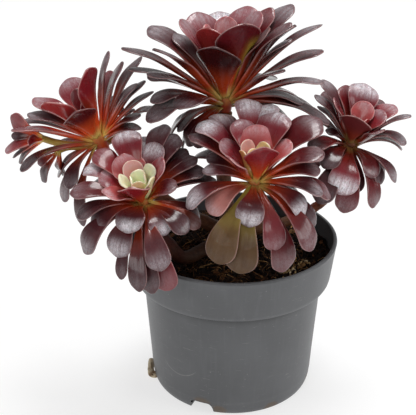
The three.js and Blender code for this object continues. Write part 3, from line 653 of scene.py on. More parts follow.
def rounded(profile, steps):
    """A profile whose corners are rounded: each becomes a quadratic curve between the points at its corner
    radius along the two sides, never past a third of a side."""
    points = np.array(profile, float)
    corner, radius = points[:, :2], points[:, 2:]
    before = np.vstack([[corner[0, 0] - 9, corner[0, 1]], corner[:-1]]) - corner
    after = np.vstack([corner[1:], [corner[-1, 0] - 9, corner[-1, 1]]]) - corner
    start, end = ((corner + side * np.minimum(radius / np.linalg.norm(side, axis=1)[:, None], 0.33))[:, None]
                  for side in (before, after))
    t = np.linspace(0, 1, steps)[None, :, None]
    curve = (1 - t) ** 2 * start + 2 * t * (1 - t) * corner[:, None] + t ** 2 * end
    return curve.reshape(-1, 2)


def lathe(profile, sides):
    """The profile's [radius, height] points turned about +Z, as rings and their angles."""
    angle = np.arange(sides) / sides * 2 * math.pi
    radius, height = profile[:, :1], np.broadcast_to(profile[:, 1:], (len(profile), sides))
    rings = np.stack([radius * np.cos(angle), radius * np.sin(angle), height], -1)
    return rings, np.broadcast_to(angle, height.shape)


def soiling(height, angle):
    """How dirty the pot is: the strongest of the bells about the dirty places."""
    dirt = np.zeros(height.shape)
    for turn, middle, reach in DIRT:
        apart = turned(angle - math.radians(turn)) * HEEL
        dirt = np.maximum(dirt, np.exp(-(apart ** 2 + 1.6 * (height - middle) ** 2) / reach ** 2))
    return dirt


def shading(height, radius):
    """The pot's painted light and shade by height, each a bell: painted shade just under the collar, a pale
    line of wear and painted highlight on the collar's lower edge, and painted highlights in a faint line
    above the foot and on the lip."""
    wall = (radius < WALL) & (height < BANDS["under_collar"])
    shade = 1 - 0.6 * bell(height - BANDS["under_collar"], 4) * wall
    shade += 0.1 * bell(height - BANDS["collar_edge"], 0.8) * (radius > COLLAR_EDGE)
    shade += 0.12 * bell(height - BANDS["foot_line"], 0.6)
    shade += 0.4 * bell(height - BANDS["lip"], 0.5) * (radius > LIP)
    return shade[..., None] * [1, 1, 1, 0] + [0, 0, 0, 1]


def build_pot(settings):
    """The pot: its rounded profile turned about +Z, wavering by a tenth of a millimetre, and notched."""
    rings, angle = lathe(rounded(POT_PROFILE, settings.corner_steps), settings.sides)
    sway = 0.12 / RIM * np.abs(waves(rings * [1, 1, 0.6], 60, 3))[..., None] * smooth(5, 40, rings[..., 2:])
    rings = rings * (1 - sway * [1, 1, 0])
    height, radius = rings[..., 2], np.hypot(rings[..., 0], rings[..., 1])
    part = skin(rings, [0, 0, 0], [0, 0, POT_PROFILE[-1][1]], dirt=soiling(height, angle),
                shade=shading(height, radius))
    material = pot_material(settings)
    shell = piece("pot_shell", part, material)
    cut_notches(shell, material, settings)
    tie_in(shell, "pot_plastic", "pot")


def cut_notches(shell, material, settings):
    """The notches cut through the shell's heel with a boolean, which then becomes its mesh."""
    notches = merged([notch_part(turn, settings) for turn in NOTCHES["turns"]])
    cutter = piece("notch_cutter", notches, material)
    cut = shell.modifiers.new("notches", "BOOLEAN")
    cut.operation, cut.solver, cut.object = "DIFFERENCE", "EXACT", cutter
    bpy.context.view_layer.update()
    final = bpy.data.meshes.new_from_object(shell.evaluated_get(bpy.context.evaluated_depsgraph_get()))
    shell.modifiers.clear()
    shell.data = final
    bpy.data.objects.remove(cutter)
    final.shade_smooth()
    final.set_sharp_from_angle(angle=math.radians(32))


def notch_part(turn, settings):
    """A notch: an arch with round shoulders, carried outwards through the heel along the given turn."""
    half, height = settings.notch_width / MM / 2, settings.notch_height / MM
    wide, tall = NOTCHES["shoulder"]
    bend = np.linspace(0, math.pi / 2, 8)
    right = np.stack([half - wide + wide * np.cos(bend), height - tall + tall * np.sin(bend)], -1)
    arch = np.vstack([[[-half, -1]], [[half, -1]], right, right[::-1] * [-1, 1]])
    cosine, sine = math.cos(math.radians(turn)), math.sin(math.radians(turn))
    section = arch[:, :1] * [-sine, cosine, 0] + arch[:, 1:] * [0, 0, 1]
    rings = np.stack([section + NOTCHES[end] * np.array([cosine, sine, 0]) for end in ("inside", "outside")])
    plain = np.zeros(rings.shape[:2])
    # The cut faces inside a notch get a painted shade of 0.8, and a little dirt.
    shade = plain[..., None] + [0.8, 0.8, 0.8, 1]
    return skin(rings, rings[0].mean(0), rings[1].mean(0), dirt=plain + 0.3, shade=shade)


# Soil and what lies on it.

def relief(x, y):
    """The height of the soil's surface: sines of x and y, a bell round the trunk, and a fall towards the wall
    by the fourth power of the way out."""
    reach = np.hypot(x, y)
    low = (0.8 * np.sin(0.31 * x + 0.7) * np.cos(0.27 * y - 0.4) + 0.6 * np.sin(0.55 * x - 0.43 * y + 1.9)
           + 0.4 * np.cos(0.8 * x + 0.66 * y))
    return SOIL_TOP + low + 0.8 * bell(reach, 18) - 1.2 * (reach / RIM) ** 4


def build_soil(settings):
    """The soil: its side turned about +Z, and a surface of rings that follows the relief with small lumps."""
    side = np.array(SOIL_SIDE, float)
    inner = np.linspace(side[-1, 0] - 0.05, 0.8, settings.rings)
    profile = np.vstack([side, np.stack([inner, np.full(settings.rings, SOIL_TOP)], -1)])
    rings, _ = lathe(profile, settings.sides)
    top = len(side)
    x, y = rings[top:, :, 0], rings[top:, :, 1]
    flat = np.stack([x, y, np.zeros_like(x)], -1)
    lumps = 0.35 * waves(flat, 4.5, 11) + 0.3 * waves(flat, 2.2, 12) + 0.2 * waves(flat, 1.2, 13)
    rings[top:, :, 2] = relief(x, y) + lumps - 0.2
    rings[top - 1, :, 2] = rings[top, :, 2] - 0.3
    tint = mix(np.array(settings.dark), np.array(settings.peat), 0.5 + 0.5 * waves(rings, 9, 14))
    part = skin(rings, [0, 0, side[0, 1]], [0, 0, relief(0, 0)], tint=tint)
    tie_in(piece("soil_bed", part, soil_material()), "soil", "soil")


def lump_shape():
    """The twelve corners and twenty faces of a small rough lump: an icosahedron with its corners moved in and
    out, from the golden ratio."""
    g = (1 + 5 ** 0.5) / 2
    corners = unit([[-1, g, 0], [1, g, 0], [-1, -g, 0], [1, -g, 0], [0, -1, g], [0, 1, g], [0, -1, -g],
                    [0, 1, -g], [g, 0, -1], [g, 0, 1], [-g, 0, -1], [-g, 0, 1]])
    faces = np.array([[0, 11, 5], [0, 5, 1], [0, 1, 7], [0, 7, 10], [0, 10, 11], [1, 5, 9], [5, 11, 4],
                      [11, 10, 2], [10, 7, 6], [7, 1, 8], [3, 9, 4], [3, 4, 2], [3, 2, 6], [3, 6, 8],
                      [3, 8, 9], [4, 9, 5], [2, 4, 11], [6, 2, 10], [8, 6, 7], [9, 8, 1]])
    return corners * np.random.default_rng(5).uniform(0.75, 1.15, (12, 1)), faces


def random_turns(rng, count, flat=0.0):
    """Rotation matrices: all ways round, or with flat near 1 mostly about +Z."""
    x = unit(rng.normal(size=(count, 3)) * [1, 1, 1 - flat])
    z = rng.normal(size=(count, 3)) * (1 - flat) + [0, 0, 4 * flat]
    y = unit(np.cross(z, x))
    return np.stack([x, y, np.cross(x, y)], -1)


def spread(rng, count, reach):
    """Places strewn evenly over the soil's surface."""
    radius, angle = reach * np.sqrt(rng.uniform(0, 1, count)), rng.uniform(0, 2 * math.pi, count)
    return np.stack([radius * np.cos(angle), radius * np.sin(angle)], -1)


def scattered(rng, dyes, count):
    """A colour for each of count things, picked from the dyes by share and made a little lighter or darker.
    The dyes are pairs of a colour and its share."""
    colours, shares = zip(*dyes)
    picked = np.array([linear(c) for c in colours])[rng.choice(len(colours), count, p=shares)]
    picked[:, :3] *= rng.uniform(0.7, 1.3, (count, 1))
    return picked


def strewn(rng, shape, places, sizes, lift, flat, dyes):
    """Lumps at places on the soil, lifted a little, turned at random and dyed."""
    turns = random_turns(rng, len(places), flat)
    middles = np.column_stack([places, relief(*places.T) + lift])
    return copies(*shape, turns, sizes, middles, tint=scattered(rng, dyes, len(places)))


def build_litter(settings):
    """Crumbs, bark chips and pale bits on the soil, as rough lumps, and strands of fibre."""
    rng = np.random.default_rng(21)
    shape = lump_shape()
    count = settings.crumbs
    places = spread(rng, count, REACH["crumbs"])
    size = np.clip(rng.lognormal(-0.25, 0.45, (count, 1)), 0.35, 2.4)
    sizes = size * rng.uniform(0.6, 1.15, (count, 3))
    crumbs = strewn(rng, shape, places, sizes, 0.1 * size[:, 0], 0, CRUMB_DYES)
    count = settings.chips
    places = spread(rng, count, REACH["chips"])
    sizes = rng.uniform(0.9, 2.6, (count, 1)) * [1.0, 0.55, 0.22] * rng.uniform(0.7, 1.3, (count, 3))
    chips = strewn(rng, shape, places, sizes, 0.5, 0.7, CHIP_DYES)
    heaps = np.array(PALE_HEAPS, float)
    heaps = np.repeat(heaps, heaps[:, 3].astype(int), axis=0)
    count = len(heaps)
    places = heaps[:, :2] + rng.normal(size=(count, 2)) * heaps[:, 2:3] * 0.5
    places *= np.minimum(1, REACH["pale"] / np.hypot(*places.T))[:, None]
    sizes = rng.uniform(0.5, 1.6, (count, 1)) * rng.uniform(0.5, 1.1, (count, 3))
    pale = strewn(rng, shape, places, sizes, 0.6, 0.3, PALE_DYES)
    material = soil_material()
    tie_in(piece("soil_crumbs", merged([crumbs, chips, pale]), material, 40), "soil")
    tie_in(piece("soil_fibres", fibre_part(rng, settings.fibres), material), "soil")


def fibre_part(rng, count):
    """Strands of fibre: each a thin three-sided tube along an arc on the soil, pinched at both ends."""
    steps, sides = 7, 3
    start = spread(rng, count, REACH["fibres"])
    heading, bend = rng.uniform(0, 2 * math.pi, count), rng.normal(0, 1.1, count)
    length, thick = rng.uniform(3, 15, count), rng.uniform(0.12, 0.36, count)
    t = np.linspace(0, 1, steps)[None, :]
    angle = heading[:, None] + bend[:, None] * t
    step = length[:, None] / (steps - 1)
    x = start[:, :1] + np.cumsum(step * np.cos(angle), 1)
    y = start[:, 1:] + np.cumsum(step * np.sin(angle), 1)
    shrink = np.minimum(1, REACH["fibre_ends"] / np.hypot(x, y))
    x, y = x * shrink, y * shrink
    z = relief(x, y) + 0.5 + rng.uniform(0, 1.6, (count, 1)) * np.sin(math.pi * t)
    radius = (thick[:, None] * (0.25 + 0.75 * np.sin(math.pi * t) ** 0.5))[:, :, None, None]
    way = (np.arange(sides) / sides * 2 * math.pi)[:, None]
    side = np.stack([-np.sin(angle), np.cos(angle), np.zeros_like(angle)], -1)[:, :, None]
    rings = np.stack([x, y, z], -1)[:, :, None] + (side * np.cos(way) + [0, 0, 1] * np.sin(way)) * radius
    tints = scattered(rng, FIBRE_DYES, count)
    last = (steps - 1) * sides
    ends = np.array([[0, 2, 1], [last, last + 1, last + 2]])
    shift = (steps * sides * np.arange(count))[:, None, None]
    return {"points": rings.reshape(-1, 3), "quads": (bands(steps, sides)[None] + shift).reshape(-1, 4),
            "triangles": (ends[None] + shift).reshape(-1, 3), "tint": np.repeat(tints, steps * sides, axis=0)}


# Stems and the root.

def spline(points, spacing):
    """A smooth curve through points, sampled at about that spacing. Between two points it is the cubic whose
    slope at each is half the way from the point before to the point after."""
    p = np.array(points, float)
    p = np.vstack([2 * p[0] - p[1], p, 2 * p[-1] - p[-2]])
    pieces = []
    for a, b, c, d in zip(p[:-3], p[1:-2], p[2:-1], p[3:]):
        count = max(2, round(np.linalg.norm(c[:3] - b[:3]) / spacing))
        t = np.linspace(0, 1, count, endpoint=False)[:, None]
        curve = 2 * b + (c - a) * t + (2 * a - 5 * b + 4 * c - d) * t ** 2 + (3 * b - a - 3 * c + d) * t ** 3
        pieces.append(0.5 * curve)
    return np.vstack([*pieces, p[-2]])


def sweep(path, sides):
    """Round sections carried along a path of [x, y, z, radius]: rings, the length to each and the angle."""
    along = unit(np.gradient(path[:, :3], axis=0))
    still = np.linalg.svd(along)[2][-1]
    first = unit(still - (along @ still)[:, None] * along)
    second = np.cross(along, first)
    angle = np.arange(sides) / sides * 2 * math.pi
    out = first[:, None] * np.cos(angle)[:, None] + second[:, None] * np.sin(angle)[:, None]
    length = np.concatenate([[0], np.cumsum(np.linalg.norm(np.diff(path[:, :3], axis=0), axis=1))])
    return out, np.broadcast_to(length[:, None], out.shape[:2]), np.broadcast_to(angle, out.shape[:2])


def limb_part(path, sides, seed, scars, tint_of):
    """A woody limb: a sweep with small waves, whose radius swells round leaf scars that climb it in a spiral.
    A scar raises its place by a bell in length and angle, and a sharper bell sinks its middle."""
    out, length, angle = sweep(path, sides)
    radius = np.broadcast_to(path[:, 3:], out.shape[:2])
    rise = np.zeros_like(radius)
    for k, at in enumerate(np.arange(1.5, length[-1, 0] - 1.5, scars)):
        apart = turned(angle - 2.4 * k - seed) * radius
        raised = bell(length - at, 1.1) * bell(apart, 2.6)
        rise = np.maximum(rise, raised) - 0.4 * bell(length - at, 0.5) * bell(apart, 1.6)
    plain = path[:, None, :3] + out * radius[..., None]
    thick = radius * (1 + 0.05 * waves(plain, 9, seed)) + 0.35 * rise - 0.15
    points = path[:, None, :3] + out * thick[..., None]
    blade = np.stack([angle * radius, length, np.full_like(length, seed * 7.0)], -1)
    tint = tint_of(points, length / length[-1, 0], rise)
    return skin(points, path[0, :3], path[-1, :3], tint=tint, blade=blade)


def stem_tint(settings, shade):
    """A rule for a limb's tint: brown wood low down, then red-brown, and yellow-brown under a rosette, all
    times the limb's painted light and shade.
    """
    wood, red, fresh, scar = (np.array(colour) * [shade, shade, shade, 1]
                              for colour in (settings.wood, settings.red, settings.fresh, settings.scar))

    def tint_of(points, share, rise):
        tint = mix(wood, red, smooth(0.35, 0.75, share + 0.12 * waves(points, 12, 41)))
        tint = mix(tint, fresh, 0.75 * smooth(0.86, 1.0, share + 0.05 * waves(points, 5, 42)))
        return mix(tint, scar, 0.6 * smooth(0.2, 0.9, rise))

    return tint_of


def build_stem(settings):
    """The trunk and a branch to each large rosette, as limbs that run into one another."""
    spacing, scars = settings.spacing / MM, settings.scars / MM
    trunk = stem_tint(settings, TRUNK_SHADE)
    parts = [limb_part(spline(TRUNK, spacing), settings.sides, 1, scars,
                       lambda points, share, rise: trunk(points, 0.2 * share, rise))]
    for seed, (name, points) in enumerate(BRANCHES.items(), 2):
        rosette = ROSETTES[name]
        ends = [[*(rosette["hub"] - low * unit(rosette["axis"])), points[-1][3]] for low in UNDER_HUB]
        path = spline([*points, *ends], spacing)
        parts.append(limb_part(path, settings.sides, seed, scars, stem_tint(settings, SHADES[name])))
    tie_in(piece("stem_wood", merged(parts), bark_material("stem_bark", 0.6)), "stem_bark", "stem")


def rootlet_path(rng, path, seed):
    """A stretch of the root's path, moved out to its skin in a random direction, waving and tapering."""
    start = rng.integers(len(path) // 3, len(path) - 14)
    stretch = path[start:start + 14].copy()
    way = unit(rng.normal(size=3) * [0.3, 1, 1])
    wave = 0.5 * waves(stretch[:, :3], 4, seed)[:, None] * [0, 1, 1]
    stretch[:, :3] += ((stretch[:, 3] + 0.15)[:, None] * way + wave) * [0.6, 1, 1]
    stretch[:, 3] = 0.34 * (1 - 0.7 * np.linspace(0, 1, len(stretch)))
    stretch[:, 2] = np.maximum(stretch[:, 2], 0.5)
    return stretch


def build_root(settings):
    """The root outside the pot: a limb with small waves, and rootlets that lie along it."""
    path = spline(ROOT, 0.5) * [1, 1, 1, settings.swelling]
    pale, dark = np.array(settings.pale), np.array(settings.dark)

    def tint_of(points, share, rise):
        return mix(dark, pale, smooth(0.35, 0.75, share + 0.2 * waves(points, 3, 51)))

    parts = [limb_part(path, settings.sides, 61, 2.2, tint_of)]
    rng = np.random.default_rng(9)
    for k in range(settings.rootlets):
        parts.append(limb_part(rootlet_path(rng, path, 70 + k), 6, 80 + k, 9, tint_of))
    tie_in(piece("drain_root_strand", merged(parts), bark_material("root", 0.75)), "root", "drain_root")


# Leaves.

def outline(u, width, length):
    """A leaf's half width at u from root to tip, as a share of the greatest: a narrow neck that widens by a
    sine to the broadest place, and from there the arc of a superellipse of power 2.2, half a width long."""
    end = np.clip(0.5 * width / length, 0.16, 0.34)
    rising = 0.2 + 0.8 * np.sin(math.pi / 2 * np.clip(u / (1 - end), 0, 1) ** 2.3)
    closing = np.sqrt(np.clip(1 - np.clip((u - 1 + end) / end, 0, 1) ** 2.2, 0, 1))
    return np.where(u < 1 - end, rising, closing)


def midrib(ring, lean, length, u):
    """The midrib in the plane of the axis and the leaf. Its slope turns evenly by bend, and by tip with the
    square of the way past 0.55; its sine and cosine are summed, and the curve is scaled and turned so that it
    runs from the seat to the tip. It gives the rise along the axis, the way out and the slope at u."""
    w = np.linspace(0, 1, 65)
    slope = np.radians(ring["bend"] * (w - 0.5) + ring["tip"] * np.clip((w - 0.55) / 0.45, 0, 1) ** 2)
    rise, out = (np.concatenate([[0], np.cumsum((f[1:] + f[:-1]) / 2)])
                 for f in (np.cos(slope), np.sin(slope)))
    along, away = length * math.cos(lean), length * math.sin(lean) - ring["seat"]
    scale = math.hypot(along, away) / math.hypot(rise[-1], out[-1])
    turn = math.atan2(away, along) - math.atan2(out[-1], rise[-1])
    a = scale * (rise * math.cos(turn) - out * math.sin(turn))
    b = scale * (rise * math.sin(turn) + out * math.cos(turn))
    return np.interp(u, w, a), np.interp(u, w, b), np.interp(u, w, slope) + turn


def middle_line(plant, ring, row, tone, u, rng):
    """The middle of a leaf at each u, and the ways along it, across it and up from its upper face. The midrib
    lies in a plane through the axis, the blade twists by a random few degrees, a pointed leaf is drawn out at
    its tip, and bloom comes with a drooping end."""
    axis, side, front = plant["frame"]
    turn, lean, length, _ = row
    rise, out, slope = midrib(ring, math.radians(lean), length, u)
    outward = math.cos(math.radians(turn)) * side + math.sin(math.radians(turn)) * front
    along = np.cos(slope)[:, None] * axis + np.sin(slope)[:, None] * outward
    up = np.sin(slope)[:, None] * axis - np.cos(slope)[:, None] * outward
    across = np.broadcast_to(np.cross(axis, outward), along.shape)
    twist = np.radians(rng.normal(0, 5) * u ** 1.5)[:, None]
    across, up = across * np.cos(twist) + up * np.sin(twist), up * np.cos(twist) - across * np.sin(twist)
    root = plant["hub"] - ring["low"] * axis + ring["seat"] * outward
    point = (0.014 if tone in HABITS["pointed"] else 0.003) * length * np.clip((u - 0.965) / 0.03, 0, 1) ** 2
    droop = 0.085 * TONES[tone][2] * length * np.clip((u - 0.72) / 0.28, 0, 1) ** 2
    middle = root + rise[:, None] * axis + out[:, None] * outward
    return middle + along * point[:, None] - up * droop[:, None], along, across, up


def section_lift(ring, bloom, width, half, u, v, face, settings, rng):
    """How far each point stands above the middle. The cup raises the edges by the square of v and flattens
    towards the tip, the edges wave, the faces are as thick as the body, and a groove above and a keel below
    follow the midrib to past the middle of the leaf."""
    ending = smooth(0.5, 0.95, u)
    body = settings.thickness * 0.5 * min(1.9, 0.9 + 0.07 * width)
    thick = body * (1 - 0.35 * ending) * np.sqrt(np.minimum(1, half / 2.2))
    cup = ring["cup"] * (1 - 1.1 * ending) - 0.14 * bloom * smooth(0.6, 1, u)
    wave = settings.wave / MM * np.sin(2 * math.pi * (1.3 * u + rng.uniform()) + 1.2 * np.sign(v)) * v ** 2
    groove = 0.32 * bell(v, 0.16) * (1 - smooth(0.35, 0.8, u)) * np.clip(face, 0, 1)
    keel = 0.3 * bell(v, 0.22) * (1 - smooth(0.3, 0.75, u)) * np.clip(-face, 0, 1)
    return cup * half * v ** 2 + wave * smooth(0.15, 0.7, u) + thick * face - groove - keel


def leaf_tint(plant, ring, tone, half, u, v, face, settings, rng):
    """A leaf's colours: its root's, then its neck's, then those of its two faces, with a thin pale edge."""
    upper, under, _, edging = TONES[tone]
    root, neck = [linear(c) for c in NECKS[tone]] if tone in NECKS else glow_of(plant, ring, settings)
    at = u + rng.normal(0, 0.035)
    top = mix(neck, linear(upper), smooth(0.16, 0.7, at))
    low = mix(neck, linear(under), smooth(0.2, 0.75, at))
    tint = mix(low, top, np.broadcast_to(face > 0, half.shape[:1] + face.shape[1:]).astype(float))
    tint = mix(root, tint, smooth(0.02, 0.22, at))
    # Tone a: a golden strip along one side, painted light shining through the leaf.
    if tone == "a":
        strip = smooth(0.3, 0.75, v) * smooth(0.1, 0.35, u) * (1 - smooth(0.6, 0.85, u))
        tint = mix(tint, np.array(settings.strip), strip)
    light = rng.uniform(0.88, 1.12)
    margin = bell((1 - np.abs(v)) * half, 0.26) * smooth(0.2, 0.45, u) * np.where(face >= 0, 1, 0.55)
    pale = settings.young_margin if tone in HABITS["young"] else settings.margin
    return mix(tint * [light, light, light, 1], np.array(pale), edging * margin)


def leaf_bloom(tone, up, u, v, face, settings):
    """How thick the pale bloom and its painted sheen lie: on the upper face towards the tip, thinner at the
    edges, at the very end and where the face is turned away from the sky: faces turned up get more painted
    sheen."""
    start = 0.64 if tone in HABITS["early"] else 0.71
    fade = (1 - 0.6 * np.abs(v) ** 3) * (1 - 0.5 * smooth(0.93, 1, u))
    # Painted sheen of the light above: faces turned up to the sky get more of the pale bloom.
    sky = np.clip(up[:, 2:], 0, 1) ** 0.6
    patch = smooth(start, start + 0.24, u) * fade * (0.35 + 0.65 * sky)
    return settings.frost_and_sheen * FULL_FROST_AND_SHEEN * TONES[tone][2] * patch * (face > 0)


def leaf_part(plant, ring, row, tone, number, settings):
    """One leaf. The first parameter u runs along the midrib and the second, an angle, round a flat section.
    The cosine of the angle, v, is how far across the section a point is, and a power of its sine is how far
    up or down its face. The half width follows the outline."""
    length, width = row[2:]
    rng = np.random.default_rng(number)
    u = ((1 - (1 - np.linspace(0, 1, settings.stations)) ** 1.7) * 0.995)[:, None]
    angle = np.arange(settings.around)[None] / settings.around * 2 * math.pi
    v, face = np.cos(angle), np.sign(np.sin(angle)) * np.abs(np.sin(angle)) ** 0.75
    half = width / 2 * outline(u, width, length)
    middle, along, across, up = middle_line(plant, ring, row, tone, u[:, 0], rng)
    lift = section_lift(ring, TONES[tone][2], width, half, u, v, face, settings, rng)
    points = middle[:, None] + (v * half)[..., None] * across[:, None] + lift[..., None] * up[:, None]
    blade = np.broadcast_arrays(v * half + 17.3 * number, u * length + 5.1 * number, 3.7 * number)
    tint = leaf_tint(plant, ring, tone, half, u, v, face, settings, rng)
    bloom = leaf_bloom(tone, up, u, v, face, settings)
    gloss = 0.35 if tone in HABITS["matt"] else 1.0
    tip = middle[-1] + along[-1] * 0.012 * length
    return skin(points, middle[0], tip, tint=tint, bloom=bloom, blade=np.stack(blade, -1), gloss=gloss)


def glow_of(plant, ring, settings):
    """The colours of a leaf's root and neck: their own colour, brighter by the rosette's glow, which is
    painted light shining through them, and duller in its low rings.
    """
    glow = plant["glow"] * (1 if ring["low"] < 3.5 else 0.55)
    root = mix(linear(DULL_ROOT), np.array(settings.root_colour), glow)
    return root, mix(linear(DULL_NECK), np.array(settings.neck_colour), glow)


def core_part(plant, settings):
    """The stub that a rosette's leaves grow from: a short profile turned about the axis of the rosette."""
    axis, side, front = plant["frame"]
    core = 0.78 * plant["core"]
    profile = np.array([[3.2, -10], [3.5, -8.6], [core, -6], [core, -3], [0.9 * core, -1], [0.5 * core, 0.6],
                        [0.2 * core, 0.9]])
    rings, angle = lathe(profile, settings.around)
    points = plant["hub"] + rings @ np.stack([side, front, axis])
    root, neck = glow_of(plant, {"low": 0}, settings)
    share = smooth(-6, 1, rings[..., 2] + 1.5 * waves(points, 4, 31))
    tint = mix(0.6 * neck, (neck + root) / 2, share)
    blade = np.stack([angle * profile[:, :1], rings[..., 2], np.zeros(angle.shape)], -1)
    ends = [plant["hub"] + height * axis for height in (-10, 1)]
    return skin(points, *ends, tint=tint, bloom=0.0, blade=blade, gloss=0.5)


def twig_part(shoot, settings):
    """The twig of a side shoot: a plain sweep from the core to the shoot's hub."""
    path = spline([*shoot["twig"], [*shoot["hub"], shoot["twig"][-1][3]]], 1.5)
    out, length, angle = sweep(path, 14)
    points = path[:, None, :3] + out * path[:, None, 3:]
    share = np.clip(length / length[-1, 0] + 0.2 * waves(points, 6, 33), 0, 1)
    tint = mix(*(linear(dye) for dye in TWIG_DYES), share)
    blade = np.stack([angle, length, np.zeros_like(length)], -1)
    return skin(points, path[0, :3], path[-1, :3], tint=tint, bloom=0.0, blade=blade, gloss=0.7)


def framed(plant):
    """A rosette with its frame: the axis, the side nearest +X and the direction a quarter turn on from it."""
    axis = unit(plant["axis"])
    side = unit(np.array([1.0, 0, 0]) - axis[0] * axis)
    return {**plant, "frame": (axis, side, np.cross(axis, side))}


def leaves_of(plant, first, settings):
    """The leaves of a rosette or a shoot, numbered from the first."""
    rows = [(dict(zip(SHAPE, shape)), row, tone) for shape, tones, leaves in plant["rings"]
            for row, tone in zip(leaves, tones, strict=True)]
    return [leaf_part(plant, *row, number, settings) for number, row in enumerate(rows, first)]


def build_rosettes(settings):
    """The five large rosettes, each one piece with its core; the left one also has the three side shoots."""
    material = leaf_material(settings)
    for index, (name, plant) in enumerate(ROSETTES.items()):
        plant = framed(plant)
        parts = [core_part(plant, settings), *leaves_of(plant, 100 * index, settings)]
        if name == "rosette_left":
            for number, shoot in enumerate(SHOOTS):
                parts += [twig_part(shoot, settings), *leaves_of(framed(shoot), 600 + 20 * number, settings)]
        whole = merged(parts)
        whole["points"] = np.clip(whole["points"], BOX[0] + INSET, BOX[1] - INSET)
        tie_in(piece(name + "_leaves", whole, material), "leaf", name)


# Studio.

def build_stage(settings):
    """The floor, the lights, the white surroundings and the camera."""
    corners = np.array([[-1, -1, 0], [1, -1, 0], [1, 1, 0], [-1, 1, 0]], float) * FLOOR_HALF
    faces = {"quads": np.array([[0, 1, 2, 3]]), "triangles": np.zeros((0, 3), int)}
    piece("studio_floor", {"points": corners, **faces}, floor_material(settings))
    for row in LIGHTS:
        lamp = bpy.data.lights.new(row["name"], "AREA")
        lamp.shape, lamp.size, lamp.energy = "DISK", row["size"], row["power"] * settings.power
        made = set_up(row["name"], lamp, row["place"])
        made.rotation_euler = (Vector(LIT_PLACE) * MM - made.location).to_track_quat("-Z", "Y").to_euler()
    world = bpy.data.worlds.new("studio")
    world.use_nodes = True
    background = world.node_tree.nodes["Background"]
    background.inputs["Color"].default_value = (1, 1, 1, 1)
    background.inputs["Strength"].default_value = settings.sky
    bpy.context.scene.world = world
    lens = bpy.data.cameras.new("camera")
    lens.lens, lens.sensor_width, lens.clip_start, lens.clip_end = CAMERA["lens"], CAMERA["sensor"], 0.01, 50
    camera = set_up("camera", lens, CAMERA["place"])
    camera.rotation_euler = (math.radians(90 - CAMERA["down"]), 0, 0)
    bpy.context.scene.camera = camera
    bpy.context.scene.view_settings.view_transform = "Standard"


def set_up(name, data, place_in_mm):
    """An object for a lamp or a lens, at its place in the scene."""
    made = bpy.data.objects.new(name, data)
    made.location = Vector(place_in_mm) * MM
    bpy.context.scene.collection.objects.link(made)
    return made


# Settings, operators and panel.

def count_of(name, description, default, least):
    """A whole number that a user can change."""
    return IntProperty(name=name, description=description, default=default, min=least)


def length_of(name, description, default):
    """A length that a user can change, in metres."""
    return FloatProperty(name=name, description=description, default=default, unit="LENGTH")


def factor_of(name, description, default, least=0, most=4):
    """A factor that a user can change."""
    return FloatProperty(name=name, description=description, default=default, subtype="FACTOR", min=least,
                         max=most)


def colour_of(name, description, srgb):
    """A colour that a user can change, from an sRGB colour from 0 to 255."""
    return FloatVectorProperty(name=name, description=description, subtype="COLOR", size=4, min=0, max=1,
                               default=tuple(linear(srgb)))


class PotSettings(bpy.types.PropertyGroup):
    sides: count_of("Sides", "Segments round the pot", 192, 24)
    corner_steps: count_of("Corner Steps", "Points in each rounded corner", 4, 2)
    notch_width: length_of("Notch Width", "Width of a drain notch", 0.0145)
    notch_height: length_of("Notch Height", "Height of a drain notch", 0.007)
    plastic: colour_of("Plastic", "Colour of the pot", (85, 86, 88))
    dirt: colour_of("Dirt", "Colour of the dirt near the foot", (106, 90, 74))


class SoilSettings(bpy.types.PropertyGroup):
    sides: count_of("Sides", "Segments round the soil", 180, 24)
    rings: count_of("Rings", "Rings of the soil's surface", 64, 8)
    crumbs: count_of("Crumbs", "Crumbs strewn on the soil", 2600, 1)
    chips: count_of("Chips", "Bark chips strewn on the soil", 320, 1)
    fibres: count_of("Fibres", "Strands of fibre on the soil", 420, 1)
    peat: colour_of("Peat", "Lighter colour of the soil", (38, 23, 15))
    dark: colour_of("Dark Peat", "Darker colour of the soil", (18, 11, 8))


class StemSettings(bpy.types.PropertyGroup):
    sides: count_of("Sides", "Segments round a limb", 28, 6)
    spacing: length_of("Spacing", "Distance between sections", 0.0009)
    scars: length_of("Scar Spacing", "Distance between leaf scars", 0.0032)
    wood: colour_of("Wood", "Colour of the old wood", (104, 66, 42))
    red: colour_of("Young Wood", "Colour of the younger wood", (112, 44, 28))
    fresh: colour_of("Fresh Stem", "Colour just under a rosette", (140, 96, 46))
    scar: colour_of("Scar", "Colour of the leaf scars", (74, 44, 28))


class RootSettings(bpy.types.PropertyGroup):
    sides: count_of("Sides", "Segments round the root", 20, 6)
    swelling: factor_of("Swelling", "How many times its usual width the root has", 1.3, 0.5, 1.4)
    rootlets: count_of("Rootlets", "Thin rootlets along the root", 7, 0)
    pale: colour_of("Pale End", "Colour of the root's end", (218, 206, 178))
    dark: colour_of("Dark Bark", "Colour of the root near its notch", (112, 88, 64))


